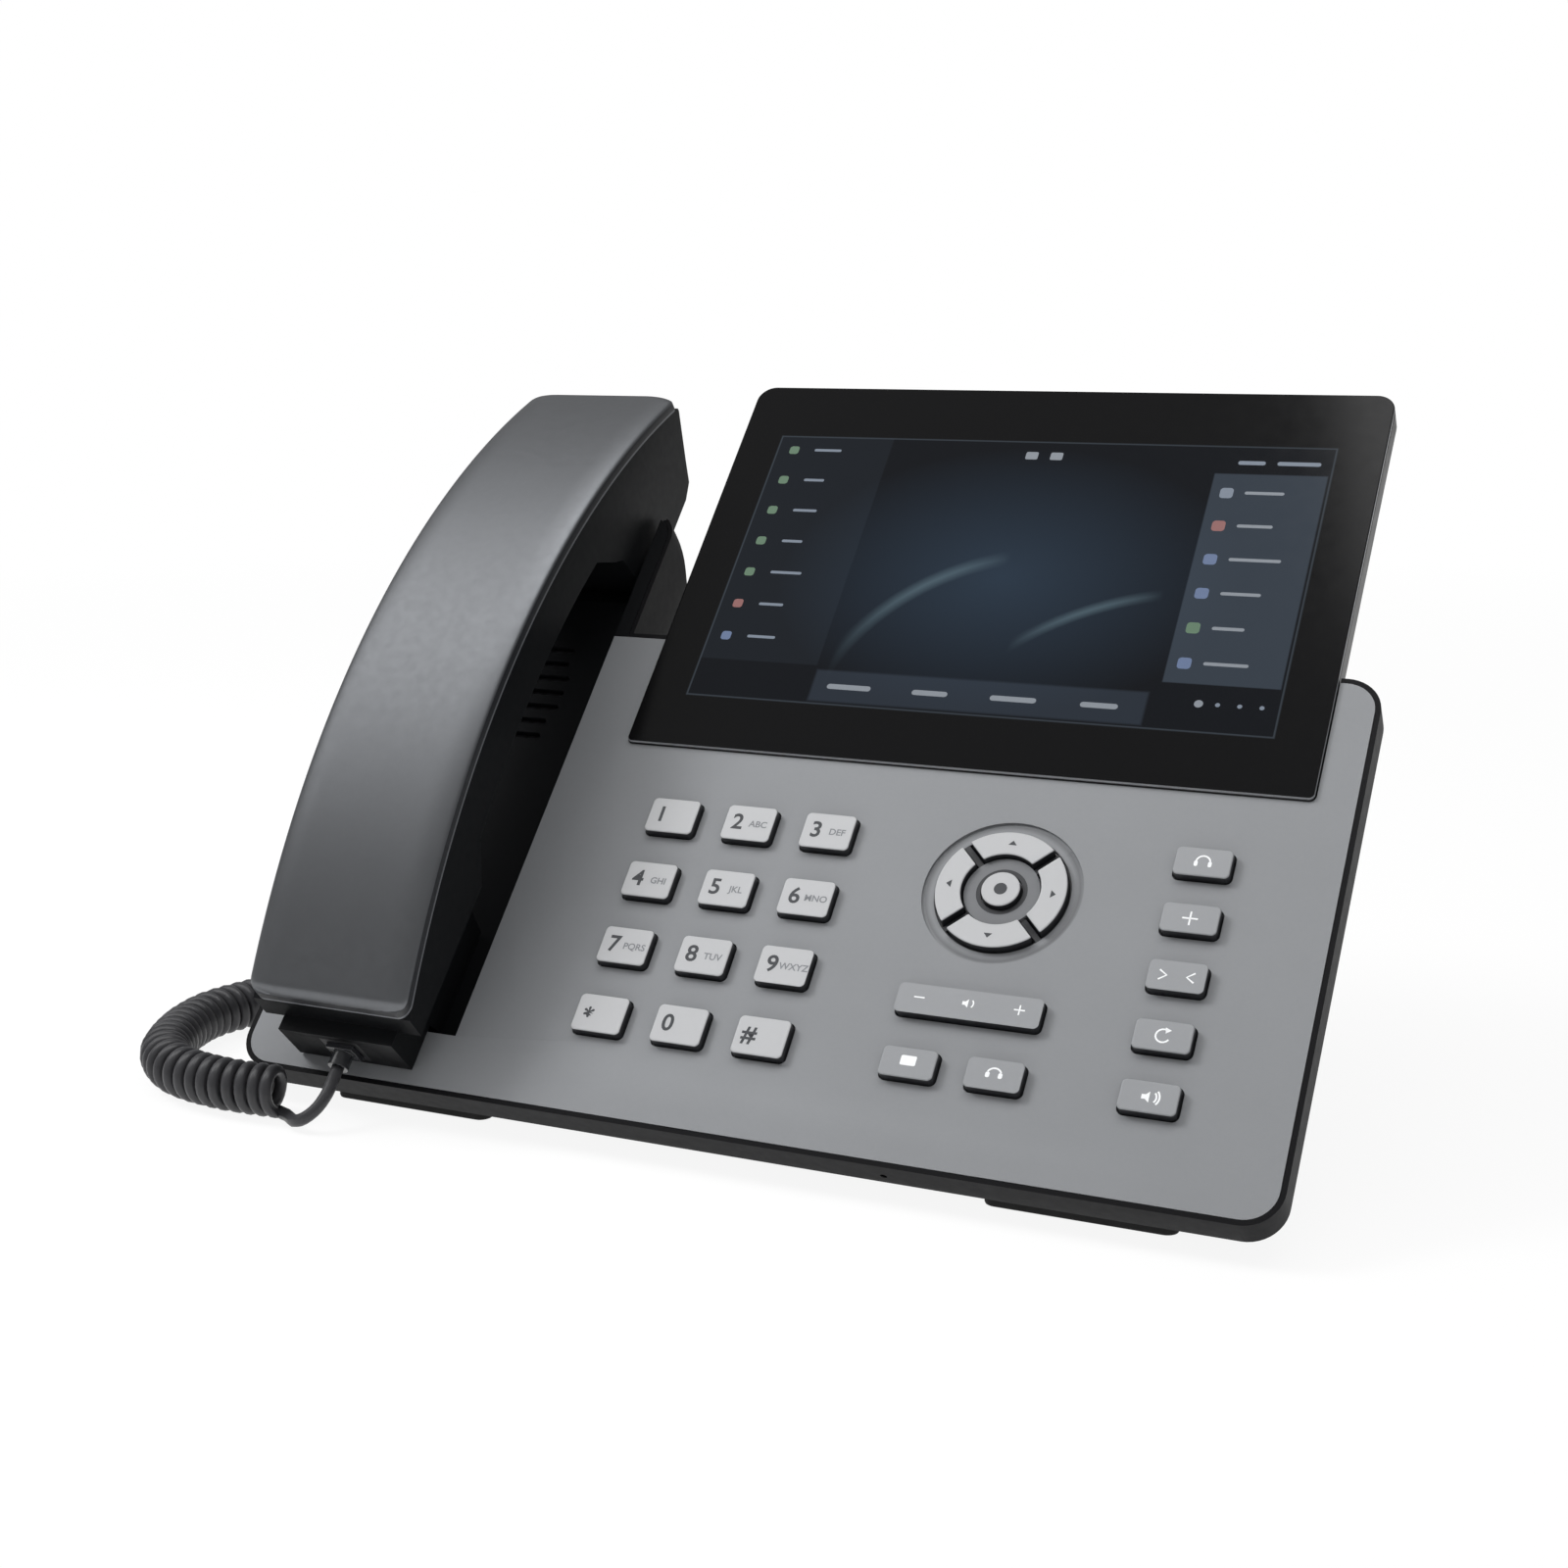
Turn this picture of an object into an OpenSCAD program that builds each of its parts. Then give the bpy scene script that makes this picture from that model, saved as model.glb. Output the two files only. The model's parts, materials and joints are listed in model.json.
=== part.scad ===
// Desk IP phone: a sloped face with a wide colour display, a dial pad, a navigation
// ring and function keys, a handset in a trough on the left, and a curly handset cord.
// Face frame: X to the user's right, Y up the face from its front edge, Z out of the face.
// The phone stands on Z = 0 with its origin under the middle of its box.

/* [Face] */
// Angle of the face from the table
tilt = 45; // [43:1:47]
// Width of the face plate
face_w = 263; // [260:1:275]
// Height of the face plate, from its front edge to its upper edge
face_h = 141.5; // [139:0.5:146]
// Corner radius of the face plate
face_r = 9; // [4:0.5:12]
// Thickness of the face plate
plate_t = 1.6; // [1.4:0.1:2]
// Width of the rim that stands round the face plate
rim_w = 1.2; // [1:0.1:1.4]

/* [Body] */
// Depth of the body's side wall, from the face down
rim_t = 8.5; // [8:0.5:10]
// Depth of the column's side wall under the handset
column_t = 17; // [16:0.5:19]
// Depth of the body, from the face to its back
body_t = 30; // [30:0.5:34]
// How far the deep part of the body stands in from the side wall
tub_inset = 8; // [6:0.5:9]
// Wall thickness of the rear cover
wall = 2.4; // [2:0.1:2.8]
// Width of the column under the handset
column_w = 64; // [63:0.5:66]
// Height of the column under the handset
column_h = 183.5; // [180:0.5:188]
// Lean of the upper ends of the column and the neck
end_lean = 34; // [25:1:38]
// Width of the neck behind the display
neck_w = 154; // [140:1:158]
// Height of the neck behind the display
neck_h = 178; // [170:1:185]

/* [Display] */
// Width of the display glass
glass_w = 177.6; // [175:0.2:179]
// Height of the display glass
glass_h = 124.4; // [118:0.2:128]
// Corner radius of the display glass
glass_r = 5; // [2:0.5:8]
// Corner radius of the cover glass at its lower edge
glass_low_r = 1.5; // [1:0.5:3]
// Centre of the display, across the face
glass_x = 31.9; // [31:0.1:32.5]
// Lower edge of the display, up the face
glass_y = 106.2; // [105.5:0.1:108]
// Height of the display glass above the face
glass_t = 1.2; // [0.8:0.1:2]
// Width of the display's active area
screen_w = 154.2; // [150:0.2:158]
// Height of the display's active area
screen_h = 85.9; // [80:0.1:90]
// Centre of the active area above the glass's lower edge
screen_y = 61.3; // [58:0.1:63]
// Width of the display panel's own edge around the active area
panel_edge = 4.5; // [3:0.5:6]
// Thickness of the display panel
panel_t = 3.6; // [3:0.1:4]
// Depth of the display housing's edge
housing_t = 6.5; // [6.3:0.1:7]
// Depth of the display housing's back
bulge_t = 14; // [12:0.5:15]
// How far the housing's back stands in from its edge
bulge_inset = 9; // [6:0.5:11]

/* [Dial keys] */
// Width of a key
key_w = 13.2; // [11:0.1:14.5]
// Height of a dial key, up the face
key_d = 10; // [8:0.1:12]
// Corner radius of a key
key_r = 1.3; // [0.5:0.1:2]
// Height of a key above the face
key_rise = 2.2; // [1.5:0.1:3]
// Distance between dial keys, across the face
dial_pitch_x = 21.2; // [19:0.1:22]
// Distance between dial keys, up the face
dial_pitch_y = 19.15; // [17:0.05:19.5]
// Centre of the dial pad's middle column
dial_x = -14.4; // [-15:0.1:-13]
// Centre of the dial pad's second row
dial_y = 64.8; // [64:0.1:66]

/* [Navigation keys] */
// Centre of the navigation keys, across the face
nav_x = 53.6; // [53:0.1:55]
// Centre of the navigation keys, up the face
nav_y = 73.4; // [72.5:0.1:74]
// Outer radius of the four navigation keys
nav_r = 15.9; // [15:0.1:16.5]
// Inner radius of the four navigation keys
nav_r_in = 9.6; // [9:0.1:10.5]
// Height of the navigation keys above the face
nav_rise = 1.5; // [1:0.1:2.2]
// Radius of the round OK key
ok_r = 4.7; // [4:0.1:5.2]
// Width of the bridge between two navigation keys
nav_bridge = 2.2; // [2:0.1:3]
// Radius of the shallow dish around the navigation keys
dish_r = 19.4; // [18:0.1:20.5]
// Depth of the dish
dish_t = 0.6; // [0.3:0.1:0.8]

/* [Function keys] */
// Height of a function key, up the face
func_d = 7.6; // [6:0.1:9]
// Centre of the right-hand column of keys
func_x = 99.2; // [98:0.1:101]
// Centre of the column's top key
func_top = 85.7; // [84:0.1:87]
// Distance between the column's keys
func_pitch = 15.13; // [13:0.01:15.5]
// Centre of the left of the two keys under the volume key
pair_x = 43.7; // [41:0.1:45]
// Distance between the two keys under the volume key
pair_pitch = 20.4; // [19:0.1:22]
// Centre of those two keys, up the face
pair_y = 25.2; // [25:0.1:27]
// Width of the volume key
volume_w = 34.6; // [30:0.1:38]
// Centre of the volume key, up the face
volume_y = 41.6; // [40.5:0.1:43]
// Radius of the volume key's pivot
pivot_r = 0.75; // [0.6:0.05:0.8]

/* [Handset] */
// Width of the handset
handset_w = 45.5; // [43:0.5:46.5]
// Centre of the handset, across the face
handset_x = -97.1; // [-98:0.1:-96.5]
// Length of the handset, end to end
handset_l = 204.4; // [200:0.2:207]
// Middle of the handset, up the face
handset_y = 111.9; // [110.5:0.1:113]
// Height of the line between the handset's two ends above the face
handset_z = 19.75; // [19:0.25:21]
// Radius of the handset's outer back
handset_r = 257; // [252:1:265]
// Drop of the handset toward its ear end
handset_drop = 2.4; // [2:0.1:2.8]
// Depth of the handset's outer shell
shell_t = 4.5; // [4:0.1:5]
// Wall thickness of the handset
shell_wall = 2.2; // [1.8:0.1:2.4]
// Chamfer along the outer shell's long edges
shell_edge = 2.2; // [1:0.1:3]
// Thickness of the handset's grip
grip_t = 17; // [16:0.5:19]
// Start of the ear cup, up the face
ear_start = 160; // [159:0.5:161]
// Depth of the ear cup below the face
ear_depth = 11; // [10.5:0.1:11.4]
// Upper end of the mouth cup, up the face
mouth_end = 48; // [46:0.5:52]
// Width of the mouth block
mouth_w = 33; // [30:0.5:38]
// Front end of the mouth block, up the face
mouth_start = 5; // [4:0.5:7]
// Depth of the mouth cup's foot below the face
mouth_depth = 5.2; // [4:0.1:5.4]

/* [Cradle] */
// Gap beside the handset in its trough
trough_gap = 1.4; // [1:0.1:1.6]
// Front end of the trough, up the face
trough_start = 16; // [14:0.5:16.5]
// Depth of the trough's floor
trough_t = 6; // [5.8:0.1:6.5]
// Start of the deeper ear well, up the face
well_start = 156; // [155:0.5:157]
// Depth of the ear well's floor
well_t = 12.2; // [11.9:0.1:12.8]
// Thickness of the cradle
cradle_wall = 1.8; // [1.5:0.1:2]
// Radius of the hook plunger
plunger_r = 3; // [2.5:0.1:4]
// Length of the hook plunger
plunger_l = 15; // [12:0.5:17]
// Centre of the hook plunger, up the face
plunger_y = 40; // [36:0.5:42]
// Travel of the hook plunger
plunger_travel = 4; // [3:0.1:4.2]

/* [Stand and feet] */
// Height of the feet
foot_h = 3.2; // [2.5:0.1:4]
// Length of a front foot
foot_l = 44; // [30:1:50]
// Width of a foot
foot_d = 9; // [7:0.5:11]
// Centre of a front foot, from the middle of the phone
foot_x = 86; // [75:1:92]
// Centre of a front foot, back from the face's front edge
foot_y = 14; // [13:0.5:20]
// Width of the stand
stand_w = 128; // [118:1:136]
// Back of the stand's base, from the face's front edge
stand_reach = 138; // [130:1:145]
// Length of the stand's base, front to back
stand_base = 22; // [16:1:28]
// Thickness of the stand's walls
stand_wall = 3.2; // [2.6:0.1:4]
// Lower end of the stand's plate on the back, up the face
stand_low = 74; // [72:1:78]
// Upper end of the stand's plate on the back, up the face
stand_high = 132; // [126:1:133]
// Width of a stand hook
hook_w = 8; // [6:0.5:10]
// Distance of its hooks from the middle
hook_x = 50; // [44:1:54]

/* [Electronics] */
// Thickness of a circuit board
board_t = 1.6; // [1:0.1:1.8]
// Depth of the main board's front face
main_z = 14.4; // [14:0.1:14.8]
// Width of the main board
main_w = 158; // [150:1:160]
// Height of the main board, up the face
main_h = 86; // [80:1:90]
// Lower edge of the main board, up the face
main_y = 36; // [35:0.5:38]
// Thickness of the rubber key mat
mat_t = 1.2; // [0.8:0.1:1.4]
// Edge of the mat and the keypad board around the keys
pad_edge = 6.5; // [6.2:0.1:7]
// Radius of the loudspeaker
speaker_r = 18; // [16:0.5:19]
// Depth of the loudspeaker
speaker_t = 12; // [8:0.5:14]
// Centre of the loudspeaker, up the face
speaker_y = 124; // [122:0.5:126]
// Radius of the earpiece receiver
receiver_r = 14; // [12:0.5:15]
// Thickness of the earpiece receiver
receiver_t = 6; // [4:0.5:8]
// Radius of a microphone capsule
mic_r = 2.2; // [1.5:0.1:2.3]
// Distance of the receiver's middle from the start of the ear end
receiver_in = 20.5; // [19:0.5:22]
// Distance of the handset's microphone from the end of its mouth block
mic_in = 12; // [10:0.5:14]
// Length of the weight in the handset's grip
weight_l = 60; // [40:1:62]
// Width of the weight
weight_w = 22; // [16:1:30]
// Thickness of the weight
weight_t = 4; // [2:0.5:4.5]
// Radius of the pegs that hold the key mat and its board
pad_post_r = 2.2; // [1.8:0.1:2.4]
// Radius of the pins on those pegs
pad_pin_r = 1.1; // [0.8:0.1:1.2]

/* [Sockets] */
// Width of the space for plugs in the back
bay_w = 118; // [112:1:122]
// Lower end of the space for plugs, up the face
bay_y = 42; // [41:0.5:43]
// Upper end of the space for plugs, up the face
bay_top = 66; // [65:0.5:67]
// Depth of the floor of the space for plugs
bay_z = 17.5; // [17.4:0.1:18]
// Centre of the left network socket
net_x = -30; // [-34:1:-28]
// Distance between the two network sockets
net_pitch = 19; // [18:0.5:21]
// Width of one network socket
net_w = 16; // [15.5:0.1:17]
// Height of one network socket
net_h = 11.4; // [11.2:0.1:11.5]
// Length of one network socket
net_l = 18; // [16:0.5:20]
// Width of a network socket's mouth
net_mouth_w = 12; // [11.7:0.1:12.4]
// Height of a network socket's mouth
net_mouth_h = 8.4; // [8:0.1:8.8]
// Depth of a socket's mouth
mouth_in = 11; // [9:0.5:12]
// Distance of the power socket from the right network socket
power_pitch = 23; // [22:0.5:25]
// Distance of the USB socket from the power socket
usb_pitch = 22; // [18:0.5:23]
// Length of the power and USB sockets
socket_l = 14; // [13.5:0.5:16]
// Width of the power socket
power_w = 9.2; // [9:0.1:9.6]
// Height of the power socket
power_h = 9.6; // [9.4:0.1:10]
// Width of the USB socket
usb_w = 14.6; // [14.4:0.1:15]
// Height of the USB socket
usb_h = 7; // [6.9:0.1:7.4]
// Radius of the power socket's bore
power_r = 2.9; // [2.6:0.1:3.1]
// Radius of the power socket's pin
pin_r = 1; // [0.8:0.05:1.1]
// Width of the handset cord's plug
plug_w = 7.6; // [7.4:0.1:7.8]
// Height of the handset cord's plug
plug_h = 6.2; // [6:0.1:6.5]
// Length of the plug in its socket
plug_in = 9; // [8:0.5:10]
// Length of the plug outside its socket
plug_out = 5; // [3:0.5:6]
// Height of the plug above the face, at the handset
plug_z = 6.5; // [6.2:0.1:7]
// Distance between the two sockets on the column's back
jack_pitch = 22; // [18:0.5:24]
// Centre of those two sockets, up the face
jack_y = 85; // [82:0.5:88]

/* [Handset cord] */
// Thickness of the cord
cord_d = 3.3; // [3:0.1:3.4]
// Outside diameter of the curls
coil_d = 13.5; // [12.5:0.1:13.5]

/* [Fasteners] */
// Radius of a screw's shank
screw_r = 1.3; // [1:0.1:1.5]
// Radius of a screw's head
head_r = 2.6; // [2.2:0.1:2.8]
// Height of a screw's head
head_t = 1.6; // [1.2:0.1:2]
// Radius of the post that a screw goes into
post_r = 3.6; // [3.3:0.1:3.8]
// Depth at which the posts of the two halves meet
post_z = 14; // [13:0.5:16]
// Centre of the left-hand posts of the face plate
post_left = -60; // [-61:0.5:-58]
// Distance of its right-hand posts from the face's end
post_in = 15; // [14:0.5:17]
// Lower posts, up the face
post_low = 24; // [23:0.5:26]
// Upper posts, up the face
post_high = 100.5; // [99:0.5:101]
// Upper post of the cradle, up the face
cradle_post_high = 149.5; // [147:0.5:150]
// Distance of the handset's screws from its middle
handset_post = 38; // [36:0.5:40]

/* [Fits] */
// Gap around a key in the face plate
key_gap = 0.4; // [0.3:0.05:0.5]
// Travel of a key
key_travel = 0.9; // [0.6:0.1:0.9]
// Gap between parts that move past each other
run_gap = 0.3; // [0.3:0.05:0.4]
// Gap around the hook plunger in its guide
guide_gap = 0.15; // [0.1:0.01:0.2]
// Gap around a plug in its socket, and around a screw's head in its hole
plug_gap = 0.15; // [0.1:0.01:0.2]

/* [Hidden] */
$fn = 64;
arc_fn = 360;
over = 1;
flange_t = 0.8;
flange_w = 1;
jack_wall = 1.7;
jack_l = 13;
grille_w = 2;
power_fn = 20;
usb_wall = 0.8;
key_top = plate_t + run_gap;
key_low = key_top + flange_t;
mat_z = key_low + key_travel + run_gap;
keypad_z = mat_z + mat_t;
edge_z = rim_t * cos(tilt) + foot_h;
column_x = -face_w / 2;
plate_inset = rim_w + guide_gap;
display_y = glass_y + glass_h / 2;
trough_w = handset_w + 2 * trough_gap;
arc_sag = handset_r - sqrt(pow(handset_r, 2) - pow(handset_l / 2, 2));
seam_r = handset_r - shell_t;
pad_left = dial_x - dial_pitch_x - key_w / 2 - pad_edge;
pad_right = func_x + key_w / 2 + pad_edge;
pad_low = min(dial_y - 2 * dial_pitch_y - key_d / 2, pair_y - func_d / 2) - pad_edge;
pad_high = max(dial_y + dial_pitch_y + key_d / 2, func_top + func_d / 2) + pad_edge;
main_x = (pad_left + pad_right) / 2 - main_w / 2;
sockets_z = main_z + board_t;
power_x = net_x + net_pitch + power_pitch;
usb_x = power_x + usb_pitch;
neck_x = glass_x - neck_w / 2;
jack_x = handset_x - jack_pitch / 2;
headset_x = handset_x + jack_pitch / 2;
post_right = face_w / 2 - post_in;
face_posts = [for (y = [post_low, post_high], x = [post_left, post_right]) [x, y]];
cradle_posts = [[handset_x, post_low], [handset_x, cradle_post_high]];
pad_corner = pad_post_r + 0.2;
pad_posts = [for (x = [pad_left + pad_corner, pad_right - pad_corner],
    y = [pad_low + pad_corner, pad_high - pad_corner]) [x, y]];
hook_y = [stand_low + 8, stand_high - 12];
main_posts = [for (x = [6, main_w - 6], y = [bay_top + 10, main_y + main_h - 6]) [main_x + x, y]];
handset_posts = [-handset_post, handset_post];
rear_y = up_y(glass_y + glass_h, -housing_t);
front_y = up_y(handset_y - handset_l / 2 * cos(handset_drop),
    handset_z + handset_l / 2 * sin(handset_drop));
middle_y = (rear_y + front_y) / 2;

// Route of the cord's straight stretch, from the handset's plug down to the coil
tail_route = [
    on_table([handset_x, mouth_start - plug_out, plug_z]),
    on_table([handset_x, mouth_start - plug_out - 3, plug_z]),
    [-97, -88.4, 8.9], [-98, -91.4, 6], [-100.5, -93.4, 3.6], [-103.8, -92.8, 2.2],
    [-106.6, -90.6, 1.75], [-109.2, -88.9, 1.75], [-112, -88.4, 1.75]];
// Route of the coiled stretch, from its end near the handset to its end near the socket
coil_route = [
    [-112, -87.3, 6.75], [-128, -88, 6.75], [-144, -84.8, 6.75], [-155, -76.8, 6.75],
    [-161, -66.8, 6.75], [-165, -54.8, 6.75], [-166, -42.8, 6.75], [-162, -28.8, 6.75],
    [-156, -14.8, 6.75], [-150, 1.2, 6.75], [-144, 15.2, 6.75], [-135, 26.2, 6.75],
    [-124, 32.2, 6.75]];
// Route of the straight stretch from the coil up to the plug in the back
back_route = [
    [-124, 32.2, 6.75], [-119, 34.9, 6.75], [-112.5, 36, 9.5], [-109, 32.5, 15],
    [-108.1, 27.5, 22], [-108.1, 21.5, 29], [-108.1, 14.6, 36],
    on_table([jack_x, jack_y, -body_t - plug_out - 3]),
    on_table([jack_x, jack_y, -body_t - plug_out])];

// ---- Places and helpers -------------------------------------------------------------

// Distance back from the face's front edge, of a point up the face and out of it
function up_y(y, z) = y * cos(tilt) - z * sin(tilt);
// Height above the table, of a point up the face and out of it
function up_z(y, z) = y * sin(tilt) + z * cos(tilt) + edge_z;
// A point of the face frame in the phone's own frame
function on_table(p) = [p[0], up_y(p[1], p[2]) - middle_y, up_z(p[1], p[2])];
function unit(v) = v / norm(v);

// Puts children drawn in the face frame where the face is
module on_face() {
    translate([0, -middle_y, edge_z]) rotate([tilt, 0, 0]) children();
}

// Puts children drawn upright, back from the face's front edge, in the phone's frame
module upright() {
    translate([0, -middle_y, 0]) children();
}

// Puts children drawn along the handset, from its middle, in the face frame
module on_handset() {
    translate([handset_x, handset_y, handset_z]) rotate([-handset_drop, 0, 0]) children();
}

module round_rect(w, h, r) {
    translate([r, 0]) square([w - 2 * r, h]);
    translate([0, r]) square([w, h - 2 * r]);
    for (x = [r, w - r], y = [r, h - r]) translate([x, y]) circle(r);
}

// A block with round corners, by its middle, from z0 up to z1
module slab(cx, cy, w, h, r, z0, z1) {
    translate([cx - w / 2, cy - h / 2, z0]) linear_extrude(z1 - z0) round_rect(w, h, r);
}

// A plain block from its low corner to its high one
module block(low, high) {
    translate(low) cube(high - low);
}

// A cylinder by its lower end, from z0 up to z1
module post(p, r, z0, z1) {
    translate([p[0], p[1], z0]) cylinder(r = r, h = z1 - z0);
}

// A side view drawn up the face and out of it, given a width across the face
module across(cx, w) {
    translate([cx - w / 2, 0, 0]) rotate([90, 0, 90]) linear_extrude(w) children();
}

// A tube swept along a route that never runs straight up
module swept(route, r, sides) {
    last = len(route) - 1;
    rings = [for (i = [0:last]) let (
            t = unit(route[min(i + 1, last)] - route[max(i - 1, 0)]),
            a = unit(cross([0, 0, 1], t)),
            b = cross(t, a))
        for (k = [0:sides - 1]) route[i]
            + r * (cos(360 * k / sides) * a + sin(360 * k / sides) * b)];
    walls = [for (i = [0:last - 1], k = [0:sides - 1], half = [0, 1]) let (
            m = (k + 1) % sides,
            low = i * sides,
            high = low + sides)
        half == 0 ? [low + k, high + k, high + m] : [low + k, high + m, low + m]];
    polyhedron(rings, concat(walls,
        [[for (k = [0:sides - 1]) k], [for (k = [0:sides - 1]) last * sides + sides - 1 - k]]),
        convexity = 6);
}

// Points along a smooth curve through a route, a number of steps to each stretch
function smooth(route, steps) = let (last = len(route) - 1) concat(
    [for (i = [0:last - 1], s = [0:steps - 1]) let (
            t = s / steps,
            a = route[max(i - 1, 0)],
            b = route[i],
            c = route[i + 1],
            d = route[min(i + 2, last)])
        b + 0.5 * t * (c - a + t * (2 * a - 5 * b + 4 * c - d + t * (3 * b - a - 3 * c + d)))],
    [route[last]]);

// ---- Body ---------------------------------------------------------------------------

// Outline of the body from the face, drawn in at its sides and at its front
module body_outline(side, front) {
    r = max(face_r - side, 1);
    translate([side - face_w / 2, front]) round_rect(face_w - 2 * side, face_h - side - front, r);
    column_outline(side, front);
}

module column_outline(side, front) {
    translate([column_x + side, front])
        round_rect(column_w - 2 * side, column_h - side - front, max(face_r - side, 1));
}

// The space above the level underside, raised by a distance
module above_underside(shift) {
    translate([0, 0, -rim_t]) rotate([-tilt, 0, 0]) translate([-200, -60, shift]) cube(400);
}

// The space below a leaning end, drawn back by a distance
module below_end(height, shift) {
    translate([0, height, 0]) rotate([-end_lean, 0, 0])
        translate([-200, -400 - shift, -200]) cube(400);
}

// The body's own shape, drawn in by its wall for the hollow
module body_shape(inset) {
    intersection() {
        union() {
            translate([0, 0, inset - rim_t]) linear_extrude(rim_t - inset) body_outline(inset, inset);
            translate([0, 0, inset - column_t]) linear_extrude(column_t - inset)
                column_outline(inset, inset);
            translate([0, 0, inset - body_t]) linear_extrude(body_t - rim_t)
                body_outline(tub_inset + inset, inset);
        }
        above_underside(inset);
        below_end(column_h, inset);
    }
    intersection() {
        block([neck_x + inset, face_h - 20, inset - body_t],
            [neck_x + neck_w - inset, neck_h, (inset > 0 ? over : 0) - bulge_t]);
        below_end(neck_h, inset);
    }
    block([neck_x + inset, face_h - 20, -body_t + inset],
        [neck_x + neck_w - inset, face_h - inset, -rim_t]);
}

// The display's footprint, with a gap around it
module display_space(gap, z0, z1) {
    slab(glass_x, display_y, glass_w + 2 * gap, glass_h + 2 * gap, glass_r + gap, z0, z1);
    slab(glass_x, glass_y + glass_h / 4, glass_w + 2 * gap, glass_h / 2 + 2 * gap,
        max(glass_low_r + gap, 0.5), z0, z1);
}

// The trough's own space, with a gap around it, from z0 up to z1
module trough_space(gap, z0, z1) {
    block([handset_x - trough_w / 2 - gap, trough_start - gap, z0],
        [handset_x + trough_w / 2 + gap, column_h + 20, z1]);
}

// A key's hole through the face plate
module key_hole(p, w, d) {
    slab(p[0], p[1], w + 2 * key_gap, d + 2 * key_gap, key_r + key_gap, -plate_t - over, over);
}

// A ring in four quarters with bridges between them
module quartered_ring(r_in, r_out, bridge) {
    difference() {
        circle(r_out);
        circle(r_in);
        for (a = [45, 135]) rotate(a) square([4 * r_out, bridge], center = true);
    }
}

function dial_place(i) = [dial_x + (i % 3 - 1) * dial_pitch_x, dial_y + (1 - floor(i / 3)) * dial_pitch_y];
function func_place(i) = [func_x, func_top - i * func_pitch];
function pair_place(i) = [pair_x + i * pair_pitch, pair_y];
volume_place = [pair_x + pair_pitch / 2, volume_y];

module fascia_cover() {
    color([0.57, 0.58, 0.59]) on_face() difference() {
        union() {
            translate([0, 0, -plate_t]) linear_extrude(plate_t) intersection() {
                body_outline(plate_inset, plate_inset);
                translate([-face_w, 0]) square([2 * face_w, face_h - plate_inset]);
            }
            for (p = face_posts) post(p, post_r, -post_z, -plate_t / 2);
            for (p = pad_posts) {
                post(p, pad_post_r, -mat_z, -plate_t / 2);
                post(p, pad_pin_r, -keypad_z - board_t - 0.6, -plate_t / 2);
            }
            for (s = [-1, 1]) translate([volume_place[0], volume_y + s * (func_d / 2 + key_gap + 0.8), 0])
                block([-2, -0.8, -mat_z + 0.1], [2, 0.8, -plate_t / 2]);
        }
        display_space(run_gap, -plate_t - over, over);
        trough_space(0, -plate_t - over, over);
        for (i = [0:11]) key_hole(dial_place(i), key_w, key_d);
        for (i = [0:4]) key_hole(func_place(i), key_w, func_d);
        for (i = [0, 1]) key_hole(pair_place(i), key_w, func_d);
        key_hole(volume_place, volume_w, func_d);
        translate([volume_place[0], volume_y, -pivot_z()]) rotate([90, 0, 0])
            cylinder(r = pivot_r + plug_gap, h = func_d + 10, center = true);
        translate([nav_x, nav_y, 0]) {
            translate([0, 0, -plate_t - over]) {
                linear_extrude(plate_t + 2 * over) quartered_ring(nav_r_in - key_gap, nav_r + key_gap,
                    nav_bridge - 2 * key_gap);
                cylinder(r = ok_r + key_gap, h = plate_t + 2 * over);
            }
            translate([0, 0, -dish_t]) difference() {
                cylinder(r = dish_r, h = dish_t + over);
                translate([0, 0, -over]) cylinder(r = nav_r_in - key_gap, h = dish_t + 3 * over);
            }
        }
        for (p = face_posts) post(p, screw_r, -post_z - over, -plate_t - over);
    }
}

module rear_cover() {
    color([0.09, 0.09, 0.1]) on_face() difference() {
        union() {
            difference() {
                body_shape(0);
                body_shape(wall);
                intersection() {
                    translate([0, 0, -plate_t]) linear_extrude(plate_t + over)
                        body_outline(rim_w, rim_w);
                    below_end(column_h, rim_w);
                }
            }
            block([-bay_w / 2 - wall, bay_y - wall, -body_t], [bay_w / 2 + wall, bay_top + wall, -sockets_z]);
            intersection() {
                union() {
                    for (p = face_posts) post(p, post_r, wall / 2 - body_t, -post_z);
                    for (p = cradle_posts) post(p, post_r, wall / 2 - body_t, -post_z);
                }
                above_underside(wall / 2);
            }
            for (p = main_posts) post(p, 3, wall / 2 - body_t, -sockets_z);
            for (x = [jack_x, headset_x]) block(
                [x - plug_w / 2 - 4, jack_y - plug_h / 2 - 4, wall / 2 - body_t],
                [x + plug_w / 2 + 4, jack_y + plug_h / 2 + 4, 6 - body_t]);
        }
        display_space(run_gap, -housing_t, over);
        trough_space(cradle_wall, -well_t - cradle_wall, over);
        block([-bay_w / 2, bay_y, -body_t - over], [bay_w / 2, bay_top, -bay_z]);
        socket_blocks();
        for (x = [jack_x, headset_x]) jack_block(x, over);
        for (p = concat(face_posts, cradle_posts)) {
            post(p, screw_r, -body_t - over, -post_z + over);
            post(p, head_r + plug_gap, -body_t - 20, head_seat(p));
        }
        for (p = main_posts) post(p, screw_r, wall - body_t, -sockets_z + over);
        translate([foot_x / 2, wall / 2, -5]) rotate([90, 0, 0])
            cylinder(r = 0.8, h = 2 * wall, center = true);
        for (x = [-1, 1], y = hook_y) block([x * hook_x - hook_w / 2 - run_gap, y - 2, -body_t - over],
            [x * hook_x + hook_w / 2 + run_gap, y + 2.6, -body_t + wall + over]);
    }
}

// Depth at which a case screw's head seats, above the back or above the level underside
function head_seat(p) = max(3 - body_t, 3 - rim_t - (p[1] - post_r) * tan(tilt));

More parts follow.
